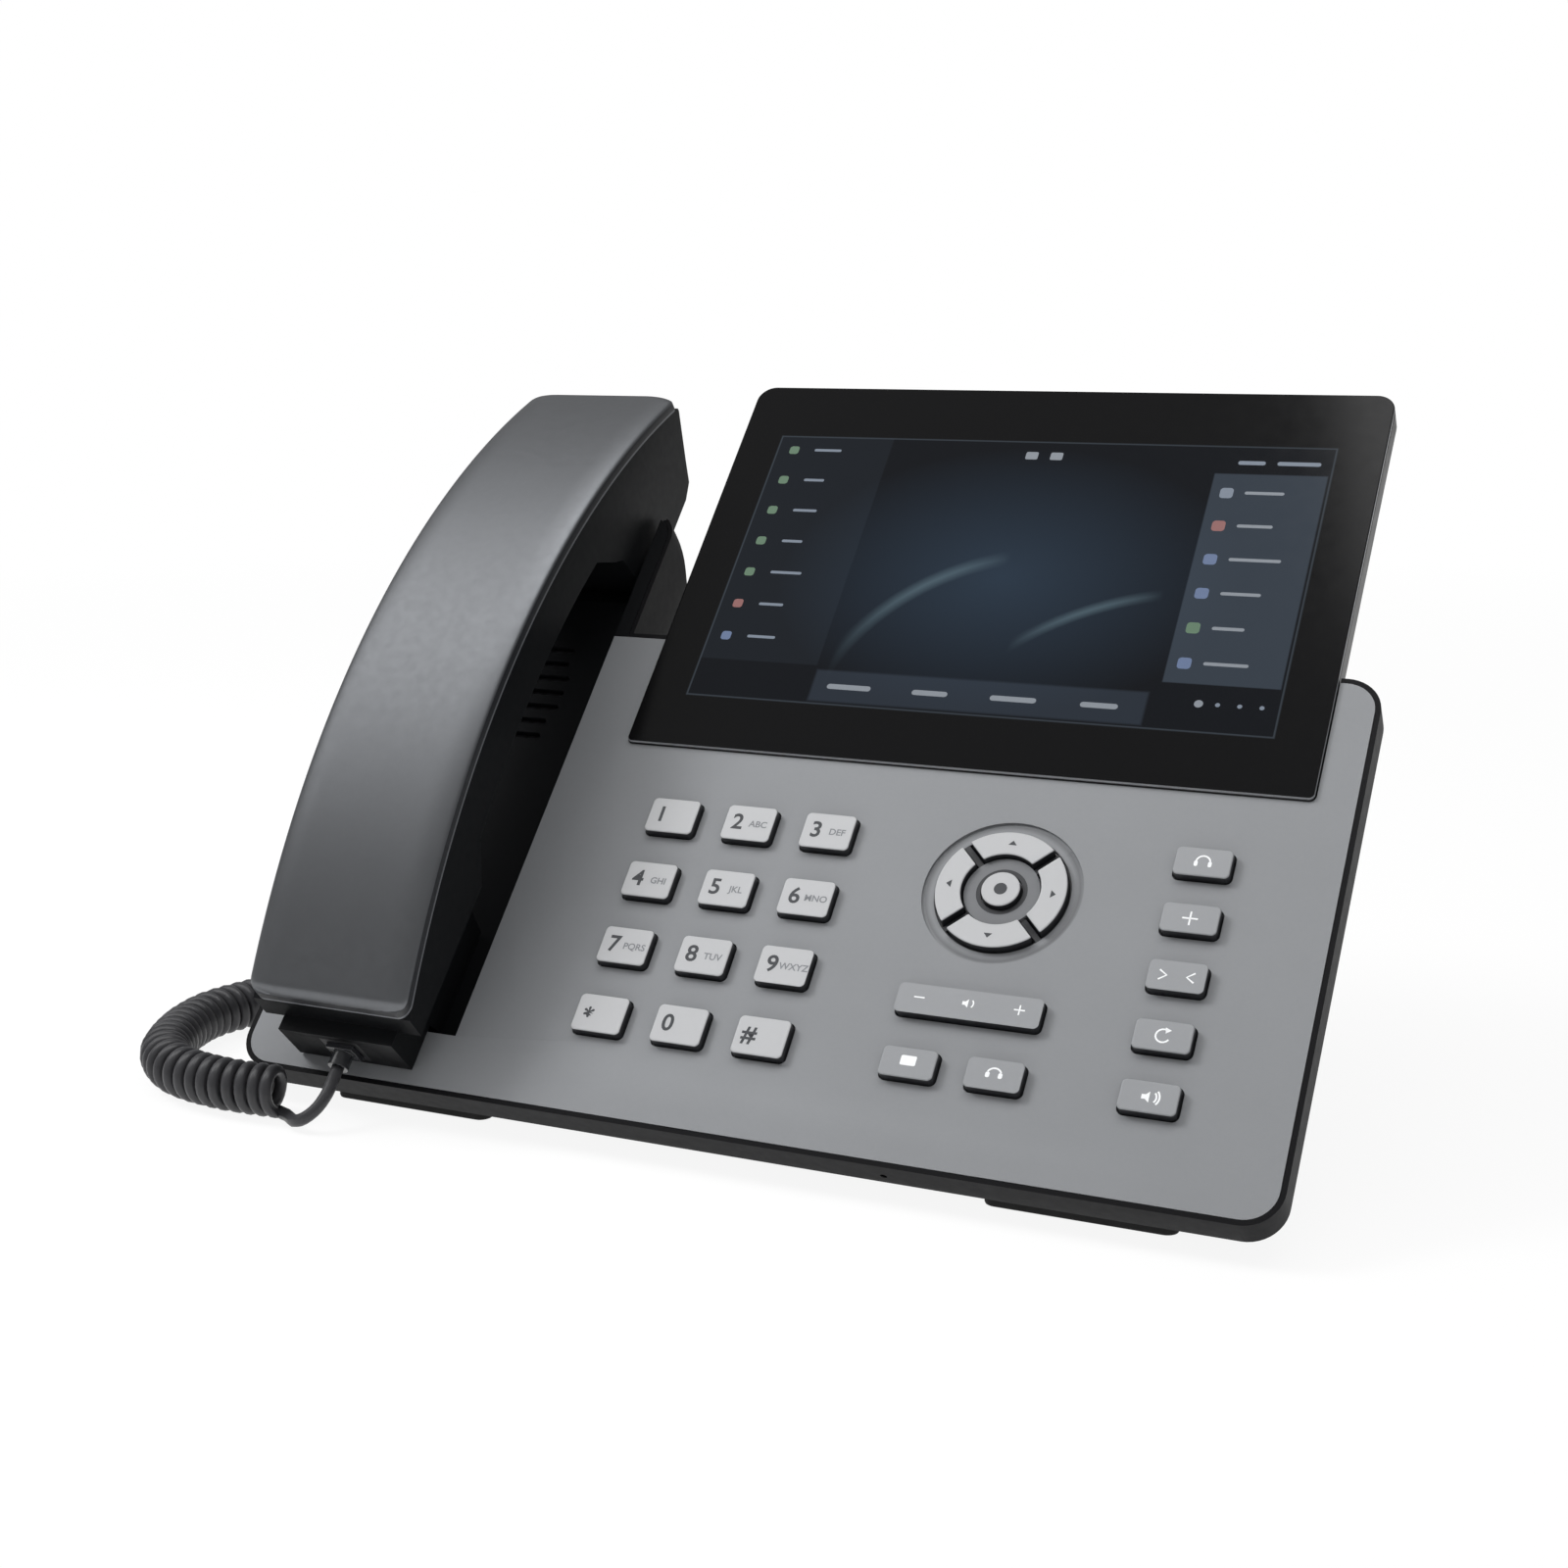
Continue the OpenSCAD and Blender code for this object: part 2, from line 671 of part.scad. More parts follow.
// Outer shapes of the sockets that stand behind the main board
module socket_blocks() {
    for (i = [0, 1]) block([net_x + i * net_pitch - net_w / 2, bay_top, -sockets_z - net_h],
        [net_x + i * net_pitch + net_w / 2, bay_top + net_l, -sockets_z]);
    socket_block(power_x, power_w, power_h);
    socket_block(usb_x, usb_w, usb_h);
}

module socket_block(x, w, h) {
    block([x - w / 2, bay_top, -sockets_z - h], [x + w / 2, bay_top + socket_l, -sockets_z]);
}

// Outer shape of a socket on the column's back
module jack_block(x, extra) {
    block([x - plug_w / 2 - jack_wall, jack_y - plug_h / 2 - jack_wall, -body_t - extra],
        [x + plug_w / 2 + jack_wall, jack_y + plug_h / 2 + jack_wall, jack_l - body_t]);
}

module handset_cradle() {
    color([0.09, 0.09, 0.1]) on_face() difference() {
        union() {
            intersection() {
                translate([0, 0, -plate_t]) linear_extrude(plate_t) difference() {
                    column_outline(plate_inset, 0);
                    translate([-face_w, -over]) square([2 * face_w, face_h - rim_w + guide_gap + over]);
                }
                below_end(column_h, plate_inset);
            }
            intersection() {
                difference() {
                    trough_space(cradle_wall, -well_t - cradle_wall, -plate_t);
                    trough_space(0, -trough_t, over);
                    block([handset_x - trough_w / 2, well_start, -well_t],
                        [handset_x + trough_w / 2, column_h + 30, 0]);
                    block([handset_x - trough_w, 0, -well_t - 2 * cradle_wall],
                        [handset_x + trough_w, well_start - cradle_wall, -trough_t - cradle_wall]);
                }
                below_end(column_h, 0);
            }
            for (p = cradle_posts) post(p, post_r, -post_z, -trough_t - cradle_wall / 2);
            post([handset_x, plunger_y], plunger_r + 3, -trough_t - cradle_wall - 4, -trough_t - cradle_wall / 2);
        }
        trough_space(0, -plate_t - over, over);
        for (p = cradle_posts) post(p, screw_r, -post_z - over, -trough_t - cradle_wall);
        post([handset_x, plunger_y], plunger_r + guide_gap, -post_z - over, over);
        for (i = [-3:3]) slab(handset_x, speaker_y + i * 2.4 * grille_w, 24 - 4 * floor(abs(i) / 2), grille_w,
            0.9, -trough_t - cradle_wall - over, over);
    }
}

// ---- Display ------------------------------------------------------------------------

module display_housing() {
    floor_t = 2;
    color([0.05, 0.05, 0.06]) on_face() difference() {
        union() {
            display_space(0, -housing_t, 0);
            block([glass_x - glass_w / 2 + bulge_inset, face_h + run_gap, -bulge_t],
                [glass_x + glass_w / 2 - bulge_inset, glass_y + glass_h - bulge_inset, -housing_t + over]);
        }
        display_space(-floor_t, floor_t - housing_t, over);
        block([glass_x - glass_w / 2 + bulge_inset + floor_t, face_h + run_gap + floor_t, floor_t - bulge_t],
            [glass_x + glass_w / 2 - bulge_inset - floor_t, glass_y + glass_h - bulge_inset - floor_t, 0]);
        block([glass_x - 12, face_h + 6, -bulge_t - over], [glass_x + 12, face_h + 10, 0]);
    }
}

module display_glass() {
    color([0.02, 0.02, 0.03]) on_face() display_space(0, 0, glass_t);
}

module lcd_panel() {
    color([0.05, 0.12, 0.2]) on_face() slab(glass_x, glass_y + screen_y, screen_w + 2 * panel_edge,
        screen_h + 2 * panel_edge, 1, -panel_t, 0);
}

// ---- Electronics --------------------------------------------------------------------

module main_board() {
    color([0.1, 0.35, 0.2]) on_face() difference() {
        block([main_x, main_y, -sockets_z], [main_x + main_w, main_y + main_h, -main_z]);
        for (p = main_posts) post(p, screw_r, -sockets_z - over, over);
        for (p = face_posts) post(p, post_r + 1, -sockets_z - over, over);
    }
}

module keypad_board() {
    color([0.12, 0.4, 0.25]) on_face() difference() {
        block([pad_left, pad_low, -keypad_z - board_t], [pad_right, pad_high, -keypad_z]);
        for (p = pad_posts) post(p, pad_pin_r + guide_gap, -keypad_z - board_t - over, over);
    }
}

module keypad_mat() {
    color([0.3, 0.3, 0.32]) on_face() difference() {
        block([pad_left, pad_low, -keypad_z], [pad_right, pad_high, -mat_z]);
        for (p = pad_posts) post(p, pad_pin_r + guide_gap, -keypad_z - over, over);
    }
}

module loudspeaker() {
    top = -trough_t - cradle_wall;
    frame_t = speaker_t / 3;
    magnet_r = speaker_r * 0.6;
    color([0.2, 0.2, 0.22]) on_face() {
        post([handset_x, speaker_y], speaker_r, top - frame_t, top);
        post([handset_x, speaker_y], magnet_r, top - speaker_t, top - frame_t);
    }
}

module handsfree_mic() {
    color([0.75, 0.75, 0.72]) on_face() translate([foot_x / 2, wall, -5]) rotate([-90, 0, 0])
        cylinder(r = mic_r, h = 3);
}

module hook_switch() {
    low = wall - body_t;
    color([0.15, 0.15, 0.16]) on_face() {
        block([handset_x - 5, plunger_y - 3, low], [handset_x + 5, plunger_y + 3, plunger_low() - run_gap]);
    }
}

// Depth of the hook plunger's lower end while the handset rests on it
function plunger_low() = -mouth_depth - run_gap - plunger_l;

module hook_plunger() {
    collar = -trough_t - cradle_wall - 4 - plunger_travel - run_gap;
    color([0.85, 0.85, 0.83]) on_face() {
        post([handset_x, plunger_y], plunger_r, plunger_low(), -mouth_depth - run_gap);
        post([handset_x, plunger_y], plunger_r + 1.4, collar - 1.2, collar);
    }
}

// ---- Sockets ------------------------------------------------------------------------

module network_jacks() {
    color([0.16, 0.16, 0.17]) on_face() for (i = [0, 1]) {
        x = net_x + i * net_pitch;
        difference() {
            block([x - net_w / 2, bay_top, -sockets_z - net_h], [x + net_w / 2, bay_top + net_l, -sockets_z]);
            block([x - net_mouth_w / 2, bay_top - over, -sockets_z - net_h / 2 - net_mouth_h / 2],
                [x + net_mouth_w / 2, bay_top + mouth_in, -sockets_z - net_h / 2 + net_mouth_h / 2]);
        }
    }
}

module column_jack(x) {
    color([0.14, 0.14, 0.15]) on_face() difference() {
        jack_block(x, 0);
        block([x - plug_w / 2 - plug_gap, jack_y - plug_h / 2 - plug_gap, -body_t - over],
            [x + plug_w / 2 + plug_gap, jack_y + plug_h / 2 + plug_gap, mouth_in - body_t]);
    }
}

module handset_jack() {
    column_jack(jack_x);
}

module headset_jack() {
    column_jack(headset_x);
}

module power_jack() {
    centre_z = -sockets_z - power_h / 2;
    color([0.1, 0.1, 0.1]) on_face() {
        difference() {
            socket_block(power_x, power_w, power_h);
            translate([power_x, bay_top - over, centre_z]) rotate([-90, 0, 0])
                cylinder(r = power_r, h = mouth_in + over, $fn = power_fn);
        }
        translate([power_x, bay_top + 1, centre_z]) rotate([-90, 0, 0])
            cylinder(r = pin_r, h = mouth_in + 1, $fn = power_fn);
    }
}

module usb_port() {
    color([0.6, 0.6, 0.62]) on_face() difference() {
        socket_block(usb_x, usb_w, usb_h);
        block([usb_x - usb_w / 2 + usb_wall, bay_top - over, -sockets_z - usb_h + 0.6],
            [usb_x + usb_w / 2 - usb_wall, bay_top + mouth_in, -sockets_z - 0.6]);
    }
}

// ---- Stand, feet and screws ---------------------------------------------------------

module stand() {
    seat = -body_t;
    low = [up_y(stand_low, seat), up_z(stand_low, seat)];
    high = [up_y(stand_high, seat), up_z(stand_high, seat)];
    heel = [stand_reach, foot_h];
    toe = [stand_reach - stand_base, foot_h];
    lean = unit(high - heel);
    lip = seat + wall + 0.2;
    hook_top = lip + 1.6;
    color([0.1, 0.1, 0.11]) {
        upright() difference() {
            intersection() {
                across(0, stand_w) polygon([low, high, heel, toe]);
                union() {
                    for (s = [-1, 1]) block([s * (stand_w / 2 - stand_wall / 2) - stand_wall / 2, 0, 0],
                        [s * (stand_w / 2 - stand_wall / 2) + stand_wall / 2, 200, 200]);
                    across(0, stand_w) polygon([heel, high, high - [stand_wall / lean[1], 0],
                        heel - [stand_wall / lean[1], 0]]);
                    across(0, stand_w) polygon([heel, toe, toe + [0, stand_wall], heel + [0, stand_wall]]);
                    across(0, stand_w) polygon([low, high, high + stand_wall * [sin(tilt), -cos(tilt)],
                        low + stand_wall * [sin(tilt), -cos(tilt)]]);
                }
            }
            block([-34, stand_reach - stand_base, 26], [34, stand_reach + 10, 58]);
        }
        on_face() for (x = [-hook_x, hook_x], y = hook_y) {
            block([x - hook_w / 2, y - 1.6, seat - 0.1], [x + hook_w / 2, y + 0.6, hook_top]);
            block([x - hook_w / 2, y - 1.6, lip], [x + hook_w / 2, y + 4.4, hook_top]);
        }
    }
}

module front_feet() {
    color([0.06, 0.06, 0.06]) upright() for (x = [-foot_x, foot_x])
        slab(x, foot_y, foot_l, foot_d, foot_d / 3, 0, foot_h);
}

module stand_feet() {
    color([0.06, 0.06, 0.06]) upright() for (x = [-stand_w / 2 + 16, stand_w / 2 - 16])
        slab(x, stand_reach - stand_base / 2, 24, foot_d, foot_d / 3, 0, foot_h);
}

// A screw upward from the seat of its head
module screw(p, seat, top) {
    post(p, head_r, seat - head_t, seat);
    post(p, screw_r, seat - head_t / 2, top);
}

module case_screws() {
    color([0.4, 0.4, 0.42]) on_face() {
        for (p = face_posts) screw(p, head_seat(p), -plate_t - over);
        for (p = cradle_posts) screw(p, head_seat(p), -trough_t - cradle_wall);
    }
}

module board_screws() {
    color([0.6, 0.6, 0.62]) on_face() for (p = main_posts) {
        post(p, head_r, -main_z, head_t - main_z);
        post(p, screw_r, wall - body_t, -main_z + head_t / 2);
    }
}

// ---- Handset ------------------------------------------------------------------------

// A drum about the centre of the handset's arc, in the face frame
module arc_drum(r, w) {
    on_handset() translate([0, 0, arc_sag - handset_r]) rotate([0, 90, 0])
        cylinder(r = r, h = w, center = true, $fn = arc_fn);
}

// The same drum with a chamfer along both of its edges
module chamfered_drum(r, w, edge) {
    arc_drum(r, w - 2 * edge);
    arc_drum(r - edge, w);
    on_handset() translate([0, 0, arc_sag - handset_r]) for (s = [0, 1]) mirror([s, 0, 0])
        translate([w / 2 - edge, 0, 0]) rotate([0, 90, 0])
            cylinder(r1 = r, r2 = r - edge, h = edge, $fn = arc_fn);
}

// The stretch of the face frame between the handset's two ends, drawn in by a distance
module handset_span(inset, low) {
    on_handset() block([-60, inset - handset_l / 2, low], [60, handset_l / 2 - inset, 60]);
}

// Outline of the ear cup from the side, and of the mouth cup behind its narrower block
module ear_profile(i) {
    grip_end = ear_start - 13.2 + i;
    tip = handset_y + handset_l / 2 - i;
    polygon([[grip_end, 40], [grip_end, 23.2 + i], [ear_start - 3, 10.8 + i], [ear_start + i, 8 + i],
        [ear_start + 2.5 + i, i - ear_depth], [tip - 16.3 + i / 2, i - ear_depth],
        [tip - 11.3, 2 + i - ear_depth], [tip - 8.3, 8 + i - ear_depth], [tip - 1.3, 10], [tip + 0.4, 40]]);
}

module mouth_profile(i) {
    back = mouth_start + 4 + i;
    polygon([[back, 40], [back, 12 + i], [mouth_end + 4 + i, 12 + i], [mouth_end + 12 - i / 2, 20 + i],
        [mouth_end + 26 - i, 40]]);
}

// The narrower block under the mouth end, with a foot that stands in the trough
module mouth_block(i) {
    foot = trough_start + 1.6 + i;
    w = mouth_w - 2 * i;
    step = mouth_start + 4 + i;
    front = [[mouth_start + i, 13 - i], [mouth_start + i, 0.6 + i], [foot, 0.6 + i],
        [foot + 0.6, i - mouth_depth], [mouth_end - i, i - mouth_depth], [mouth_end + 4 - i, 13 + i]];
    across(handset_x, w) polygon(i > 0 ? concat(front, [[step, 13 + i], [step, 13 - i]]) : front);
}

// The handset's lower half, drawn in by its wall for the hollow
module handset_solid(i) {
    w = handset_w - 2 * i;
    intersection() {
        arc_drum(seam_r + (i > 0 ? over : 0), w);
        union() {
            difference() {
                block([handset_x - w / 2, mouth_start + 4 + i, 14],
                    [handset_x + w / 2, handset_y + handset_l / 2 - 1.1 - i, 60]);
                arc_drum(handset_r - grip_t + i, handset_w + over);
            }
            across(handset_x, w) {
                ear_profile(i);
                mouth_profile(i);
            }
        }
        handset_span(i, -60);
    }
    mouth_block(i);
}

module handset_outer_shell() {
    color([0.28, 0.29, 0.31]) on_face() difference() {
        intersection() {
            chamfered_drum(handset_r, handset_w, shell_edge);
            handset_span(0, -10);
        }
        arc_drum(seam_r, handset_w + over);
        intersection() {
            difference() {
                arc_drum(handset_r - shell_wall, handset_w - 2 * shell_wall);
                on_handset() for (s = handset_posts) post([0, s], post_r, -10, 60);
            }
            handset_span(shell_wall, -10);
        }
        on_handset() for (s = handset_posts) post([0, s], screw_r, -10, arc_sag - shell_t - over);
    }
}

module handset_inner_shell() {
    socket_z = plug_z - plug_h / 2 - jack_wall;
    color([0.2, 0.21, 0.22]) on_face() difference() {
        union() {
            difference() {
                handset_solid(0);
                handset_solid(shell_wall);
            }
            intersection() {
                on_handset() for (s = handset_posts) post([0, s], post_r, arc_sag - 22, 60);
                difference() {
                    arc_drum(seam_r, handset_w - 2 * shell_wall);
                    arc_drum(handset_r - grip_t + shell_wall / 2, handset_w);
                }
            }
        }
        block([handset_x - plug_w / 2 - jack_wall, mouth_start - over, socket_z],
            [handset_x + plug_w / 2 + jack_wall, mouth_start + jack_l, socket_z + plug_h + 2 * jack_wall]);
        on_handset() for (s = handset_posts) {
            post([0, s], screw_r, -10, 60);
            post([0, s], head_r + plug_gap, -20, handset_seat());
        }
        for (x = [-6, 0, 6], y = [-6, 0, 6]) post([handset_x + x, receiver_y() + y], 0.9, -20, 0);
        post([handset_x, mic_y()], 0.8, -20, 0);
    }
}

// Height at which the handset's screws seat, above the line between its ends
function handset_seat() = arc_sag - grip_t + head_t;
function receiver_y() = ear_start + receiver_in;
function mic_y() = mouth_end - mic_in;

module handset_receiver() {
    low = shell_wall - ear_depth;
    color([0.7, 0.7, 0.68]) on_face() post([handset_x, receiver_y()], receiver_r, low, low + receiver_t);
}

module handset_mic() {
    low = shell_wall - mouth_depth;
    color([0.75, 0.75, 0.72]) on_face() post([handset_x, mic_y()], mic_r, low, low + 3);
}

module handset_weight() {
    low = arc_sag - grip_t + shell_wall;
    color([0.55, 0.56, 0.58]) on_face() on_handset()
        block([-weight_w / 2, -weight_l / 2, low], [weight_w / 2, weight_l / 2, low + weight_t]);
}

module handset_screws() {
    color([0.5, 0.5, 0.52]) on_face() on_handset() for (s = handset_posts)
        screw([0, s], handset_seat(), arc_sag - shell_t - over);
}

module handset_socket() {
    w = plug_w / 2 + jack_wall;
    h = plug_h / 2 + jack_wall;
    color([0.12, 0.12, 0.13]) on_face() difference() {
        block([handset_x - w, mouth_start, plug_z - h], [handset_x + w, mouth_start + jack_l, plug_z + h]);
        block([handset_x - plug_w / 2 - plug_gap, mouth_start - over, plug_z - plug_h / 2 - plug_gap],
            [handset_x + plug_w / 2 + plug_gap, mouth_start + mouth_in, plug_z + plug_h / 2 + plug_gap]);
    }
}

// ---- Cord ---------------------------------------------------------------------------

// A plug that points along Z, with its cord end below
module cord_plug() {
    block([-plug_w / 2, -plug_h / 2, -1.2], [plug_w / 2, plug_h / 2, plug_in]);
    translate([0, 0, -plug_out]) cylinder(r = cord_d / 2 + 1, h = plug_out);
}

module cord_plug_handset() {
    color([0.2, 0.2, 0.21]) on_face() translate([handset_x, mouth_start, plug_z])
        rotate([-90, 0, 0]) cord_plug();
}

module cord_plug_base() {
    color([0.2, 0.2, 0.21]) on_face() translate([jack_x, jack_y, -body_t]) cord_plug();
}

module cord_tail_handset() {
    color([0.08, 0.08, 0.09]) swept(tail_route, cord_d / 2, 8);
}

module cord_coil() {
    color([0.08, 0.08, 0.09]) swept(smooth(coil_route, 2), coil_d / 2, 12);
}

module cord_tail_base() {
    color([0.08, 0.08, 0.09]) swept(back_route, cord_d / 2, 8);
}

// ---- Keys ---------------------------------------------------------------------------

// A key with round corners and a flange that stops it under the face plate
module key(p, d) {
    on_face() {
        slab(p[0], p[1], key_w, d, key_r, -key_low, key_rise);
        slab(p[0], p[1], key_w + 2 * flange_w, d + 2 * flange_w, key_r, -key_low, -key_top);
    }
}

module dial_key(i) {
    color([0.9, 0.9, 0.9]) key(dial_place(i), key_d);
}

module func_key(i) {
    color([0.45, 0.46, 0.48]) key(func_place(i), func_d);
}

module pair_key(i) {
    color([0.45, 0.46, 0.48]) key(pair_place(i), func_d);
}

// One quarter of the navigation ring, turned to its side
module nav_key(turn) {
    color([0.6, 0.61, 0.63]) on_face() translate([nav_x, nav_y, -key_low]) intersection() {
        union() {
            linear_extrude(key_low + nav_rise) quartered_ring(nav_r_in, nav_r, nav_bridge);
            linear_extrude(flange_t) quartered_ring(nav_r_in - flange_w, nav_r + flange_w, nav_bridge);
        }
        rotate(turn - 45) cube([nav_r + 5, nav_r + 5, 10]);
    }
}

module ok_key() {
    color([0.6, 0.61, 0.63]) on_face() {
        post([nav_x, nav_y], ok_r, -key_low, nav_rise);
        post([nav_x, nav_y], ok_r + flange_w, -key_low, -key_top);
    }
}

// Depth of the volume key's pivot, clear of the face plate's back
function pivot_z() = plate_t + run_gap + pivot_r;

module volume_key() {
    deep = pivot_z() + pivot_r;
    color([0.45, 0.46, 0.48]) on_face() {
        slab(volume_place[0], volume_y, volume_w, func_d, key_r, -pivot_z(), key_rise);
        block([volume_place[0] - 2, volume_y - func_d / 2, -deep],
            [volume_place[0] + 2, volume_y + func_d / 2, -plate_t]);
        translate([volume_place[0], volume_y, -pivot_z()]) rotate([90, 0, 0])
            cylinder(r = pivot_r, h = func_d + 2 * key_gap + 3, center = true);
    }
}

// ---- Parts --------------------------------------------------------------------------

fascia_cover();
rear_cover();
handset_cradle();
display_housing();
display_glass();
lcd_panel();
main_board();
keypad_board();
keypad_mat();
loudspeaker();
handsfree_mic();
hook_switch();
stand();
front_feet();
stand_feet();
case_screws();
board_screws();
network_jacks();
handset_jack();
headset_jack();
power_jack();
usb_port();
hook_plunger();
handset_outer_shell();
handset_inner_shell();
handset_receiver();
handset_mic();
handset_weight();
handset_screws();
handset_socket();
cord_plug_handset();
cord_tail_handset();
cord_coil();
cord_tail_base();
cord_plug_base();
dial_key(0);  // key_1
dial_key(1);  // key_2
dial_key(2);  // key_3
dial_key(3);  // key_4
dial_key(4);  // key_5
dial_key(5);  // key_6
dial_key(6);  // key_7
dial_key(7);  // key_8
dial_key(8);  // key_9
dial_key(9);  // key_star
dial_key(10);  // key_0
dial_key(11);  // key_hash
nav_key(0);  // nav_right
nav_key(90);  // nav_up
nav_key(180);  // nav_left
nav_key(270);  // nav_down
ok_key();
volume_key();
pair_key(0);  // left_key
pair_key(1);  // right_key
func_key(0);  // function_key_1
func_key(1);  // function_key_2
func_key(2);  // function_key_3
func_key(3);  // function_key_4
func_key(4);  // function_key_5
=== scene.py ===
"""Desk IP phone on its table: finishes, soft edges, printed marks, screen and cord."""

import json
import math

import bmesh
import bpy
import numpy as np
from mathutils import Matrix, Vector

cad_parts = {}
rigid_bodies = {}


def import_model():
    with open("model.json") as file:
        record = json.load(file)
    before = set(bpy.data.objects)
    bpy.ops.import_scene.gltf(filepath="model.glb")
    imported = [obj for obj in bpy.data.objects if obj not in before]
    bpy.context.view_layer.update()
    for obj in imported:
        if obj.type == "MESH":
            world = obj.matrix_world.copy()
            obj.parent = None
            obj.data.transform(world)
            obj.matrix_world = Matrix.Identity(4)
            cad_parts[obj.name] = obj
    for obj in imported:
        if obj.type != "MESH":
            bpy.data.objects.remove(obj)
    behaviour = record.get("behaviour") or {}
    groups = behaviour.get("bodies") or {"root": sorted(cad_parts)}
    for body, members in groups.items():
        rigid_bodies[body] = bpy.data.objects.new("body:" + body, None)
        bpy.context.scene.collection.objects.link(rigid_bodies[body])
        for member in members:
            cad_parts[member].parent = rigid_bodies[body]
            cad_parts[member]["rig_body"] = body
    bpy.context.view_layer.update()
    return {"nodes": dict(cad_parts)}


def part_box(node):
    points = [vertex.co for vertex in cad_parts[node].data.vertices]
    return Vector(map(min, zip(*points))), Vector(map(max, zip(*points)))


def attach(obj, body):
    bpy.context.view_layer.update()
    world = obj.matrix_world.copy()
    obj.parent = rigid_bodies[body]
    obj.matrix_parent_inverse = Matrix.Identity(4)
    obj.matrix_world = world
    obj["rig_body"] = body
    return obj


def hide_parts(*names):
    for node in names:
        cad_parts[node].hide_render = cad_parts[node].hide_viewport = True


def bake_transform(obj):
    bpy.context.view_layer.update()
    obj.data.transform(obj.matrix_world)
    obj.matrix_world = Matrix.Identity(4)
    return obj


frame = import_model()

# ---- Camera -------------------------------------------------------------------------
# A portrait lens stands in front of the phone, to its right and a little above it. The small
# shift centres the phone in a square picture.
camera = bpy.data.objects.new("camera", bpy.data.cameras.new("camera"))
bpy.context.scene.collection.objects.link(camera)
camera.data.lens = 52.1
camera.data.sensor_width = 36
camera.data.shift_x = 0.0423
camera.data.shift_y = 0.0224
camera.data.clip_start = 0.02
look = Matrix(((0.9072, -0.0906, 0.4108), (0.4206, 0.2032, -0.8842), (-0.0034, 0.9749, 0.2224)))
camera.matrix_world = Matrix.Translation((0.2111, -0.5247, 0.1971)) @ look.to_4x4()
bpy.context.scene.camera = camera
bpy.context.scene.view_settings.view_transform = "Standard"


# ---- Table and light ------------------------------------------------------------------
# A plain white table top in a white room, under a long soft lamp, with weaker lamps at the left,
# the back and the right. The table looks white, and keeps a light shadow near the phone.
class Signal:
    """One output in a finish. Arithmetic on it adds Math nodes."""

    def __init__(self, finish, socket):
        self.finish, self.socket = finish, socket

    def math(self, operation, first, second=0.0):
        return self.finish.add("ShaderNodeMath", {"operation": operation}, {0: first, 1: second})

    def __add__(self, other):
        return self.math("ADD", self, other)

    def __sub__(self, other):
        return self.math("SUBTRACT", self, other)

    def __rsub__(self, other):
        return self.math("SUBTRACT", other, self)

    def __mul__(self, other):
        return self.math("MULTIPLY", self, other)

    def __truediv__(self, other):
        return self.math("DIVIDE", self, other)

    def __gt__(self, other):
        return self.math("GREATER_THAN", self, other)

    def __lt__(self, other):
        return self.math("LESS_THAN", self, other)

    __radd__, __rmul__ = __add__, __mul__

    def size(self):
        return self.math("ABSOLUTE", self)

    def least(self, other):
        return self.math("MINIMUM", self, other)

    def most(self, other):
        return self.math("MAXIMUM", self, other)


def srgb(red, green, blue):
    """A screen colour of 0 to 255 as the linear colour that a shader takes."""
    shares = (c / 255 for c in (red, green, blue))
    return tuple(s / 12.92 if s < 0.04045 else ((s + 0.055) / 1.055) ** 2.4 for s in shares) + (1,)


class Finish:
    """A material that starts from one shader and gets its texture from nodes."""

    def __init__(self, name, colour, roughness, **sockets):
        self.material = bpy.data.materials.new(name)
        self.material.use_nodes = True
        self.tree = self.material.node_tree
        self.shader = self.tree.nodes["Principled BSDF"]
        self.feed(self.shader, {"Base Color": srgb(*colour), "Roughness": roughness})
        self.feed(self.shader, {name.replace("_", " "): value for name, value in sockets.items()})
        self.place = self.add("ShaderNodeTexCoord", {}, {}, "Object")

    def feed(self, node, inputs):
        for name, value in inputs.items():
            if isinstance(value, Signal):
                self.tree.links.new(value.socket, node.inputs[name])
            else:
                node.inputs[name].default_value = value

    def add(self, kind, settings, inputs, output=0):
        node = self.tree.nodes.new(kind)
        for name, value in settings.items():
            setattr(node, name, value)
        self.feed(node, inputs)
        return Signal(self, node.outputs[output])

    def noise(self, scale, detail=2.0):
        inputs = {"Vector": self.place, "Scale": scale, "Detail": detail}
        return self.add("ShaderNodeTexNoise", {}, inputs)

    def length(self, vector):
        return self.add("ShaderNodeVectorMath", {"operation": "LENGTH"}, {0: vector}, "Value")

    def mix(self, share, first, second):
        inputs = {0: share, 6: first, 7: second}
        return self.add("ShaderNodeMix", {"data_type": "RGBA"}, inputs, 2)

    def bump(self, height, depth, strength=1.0):
        inputs = {"Height": height, "Distance": depth, "Strength": strength}
        self.feed(self.shader, {"Normal": self.add("ShaderNodeBump", {}, inputs)})


TABLE_SIZE = 8.0
TABLE_DROP = 0.0002
NEAR_WHITE = 0.9
NEAR_REACH, FAR_REACH = 0.3, 1.3

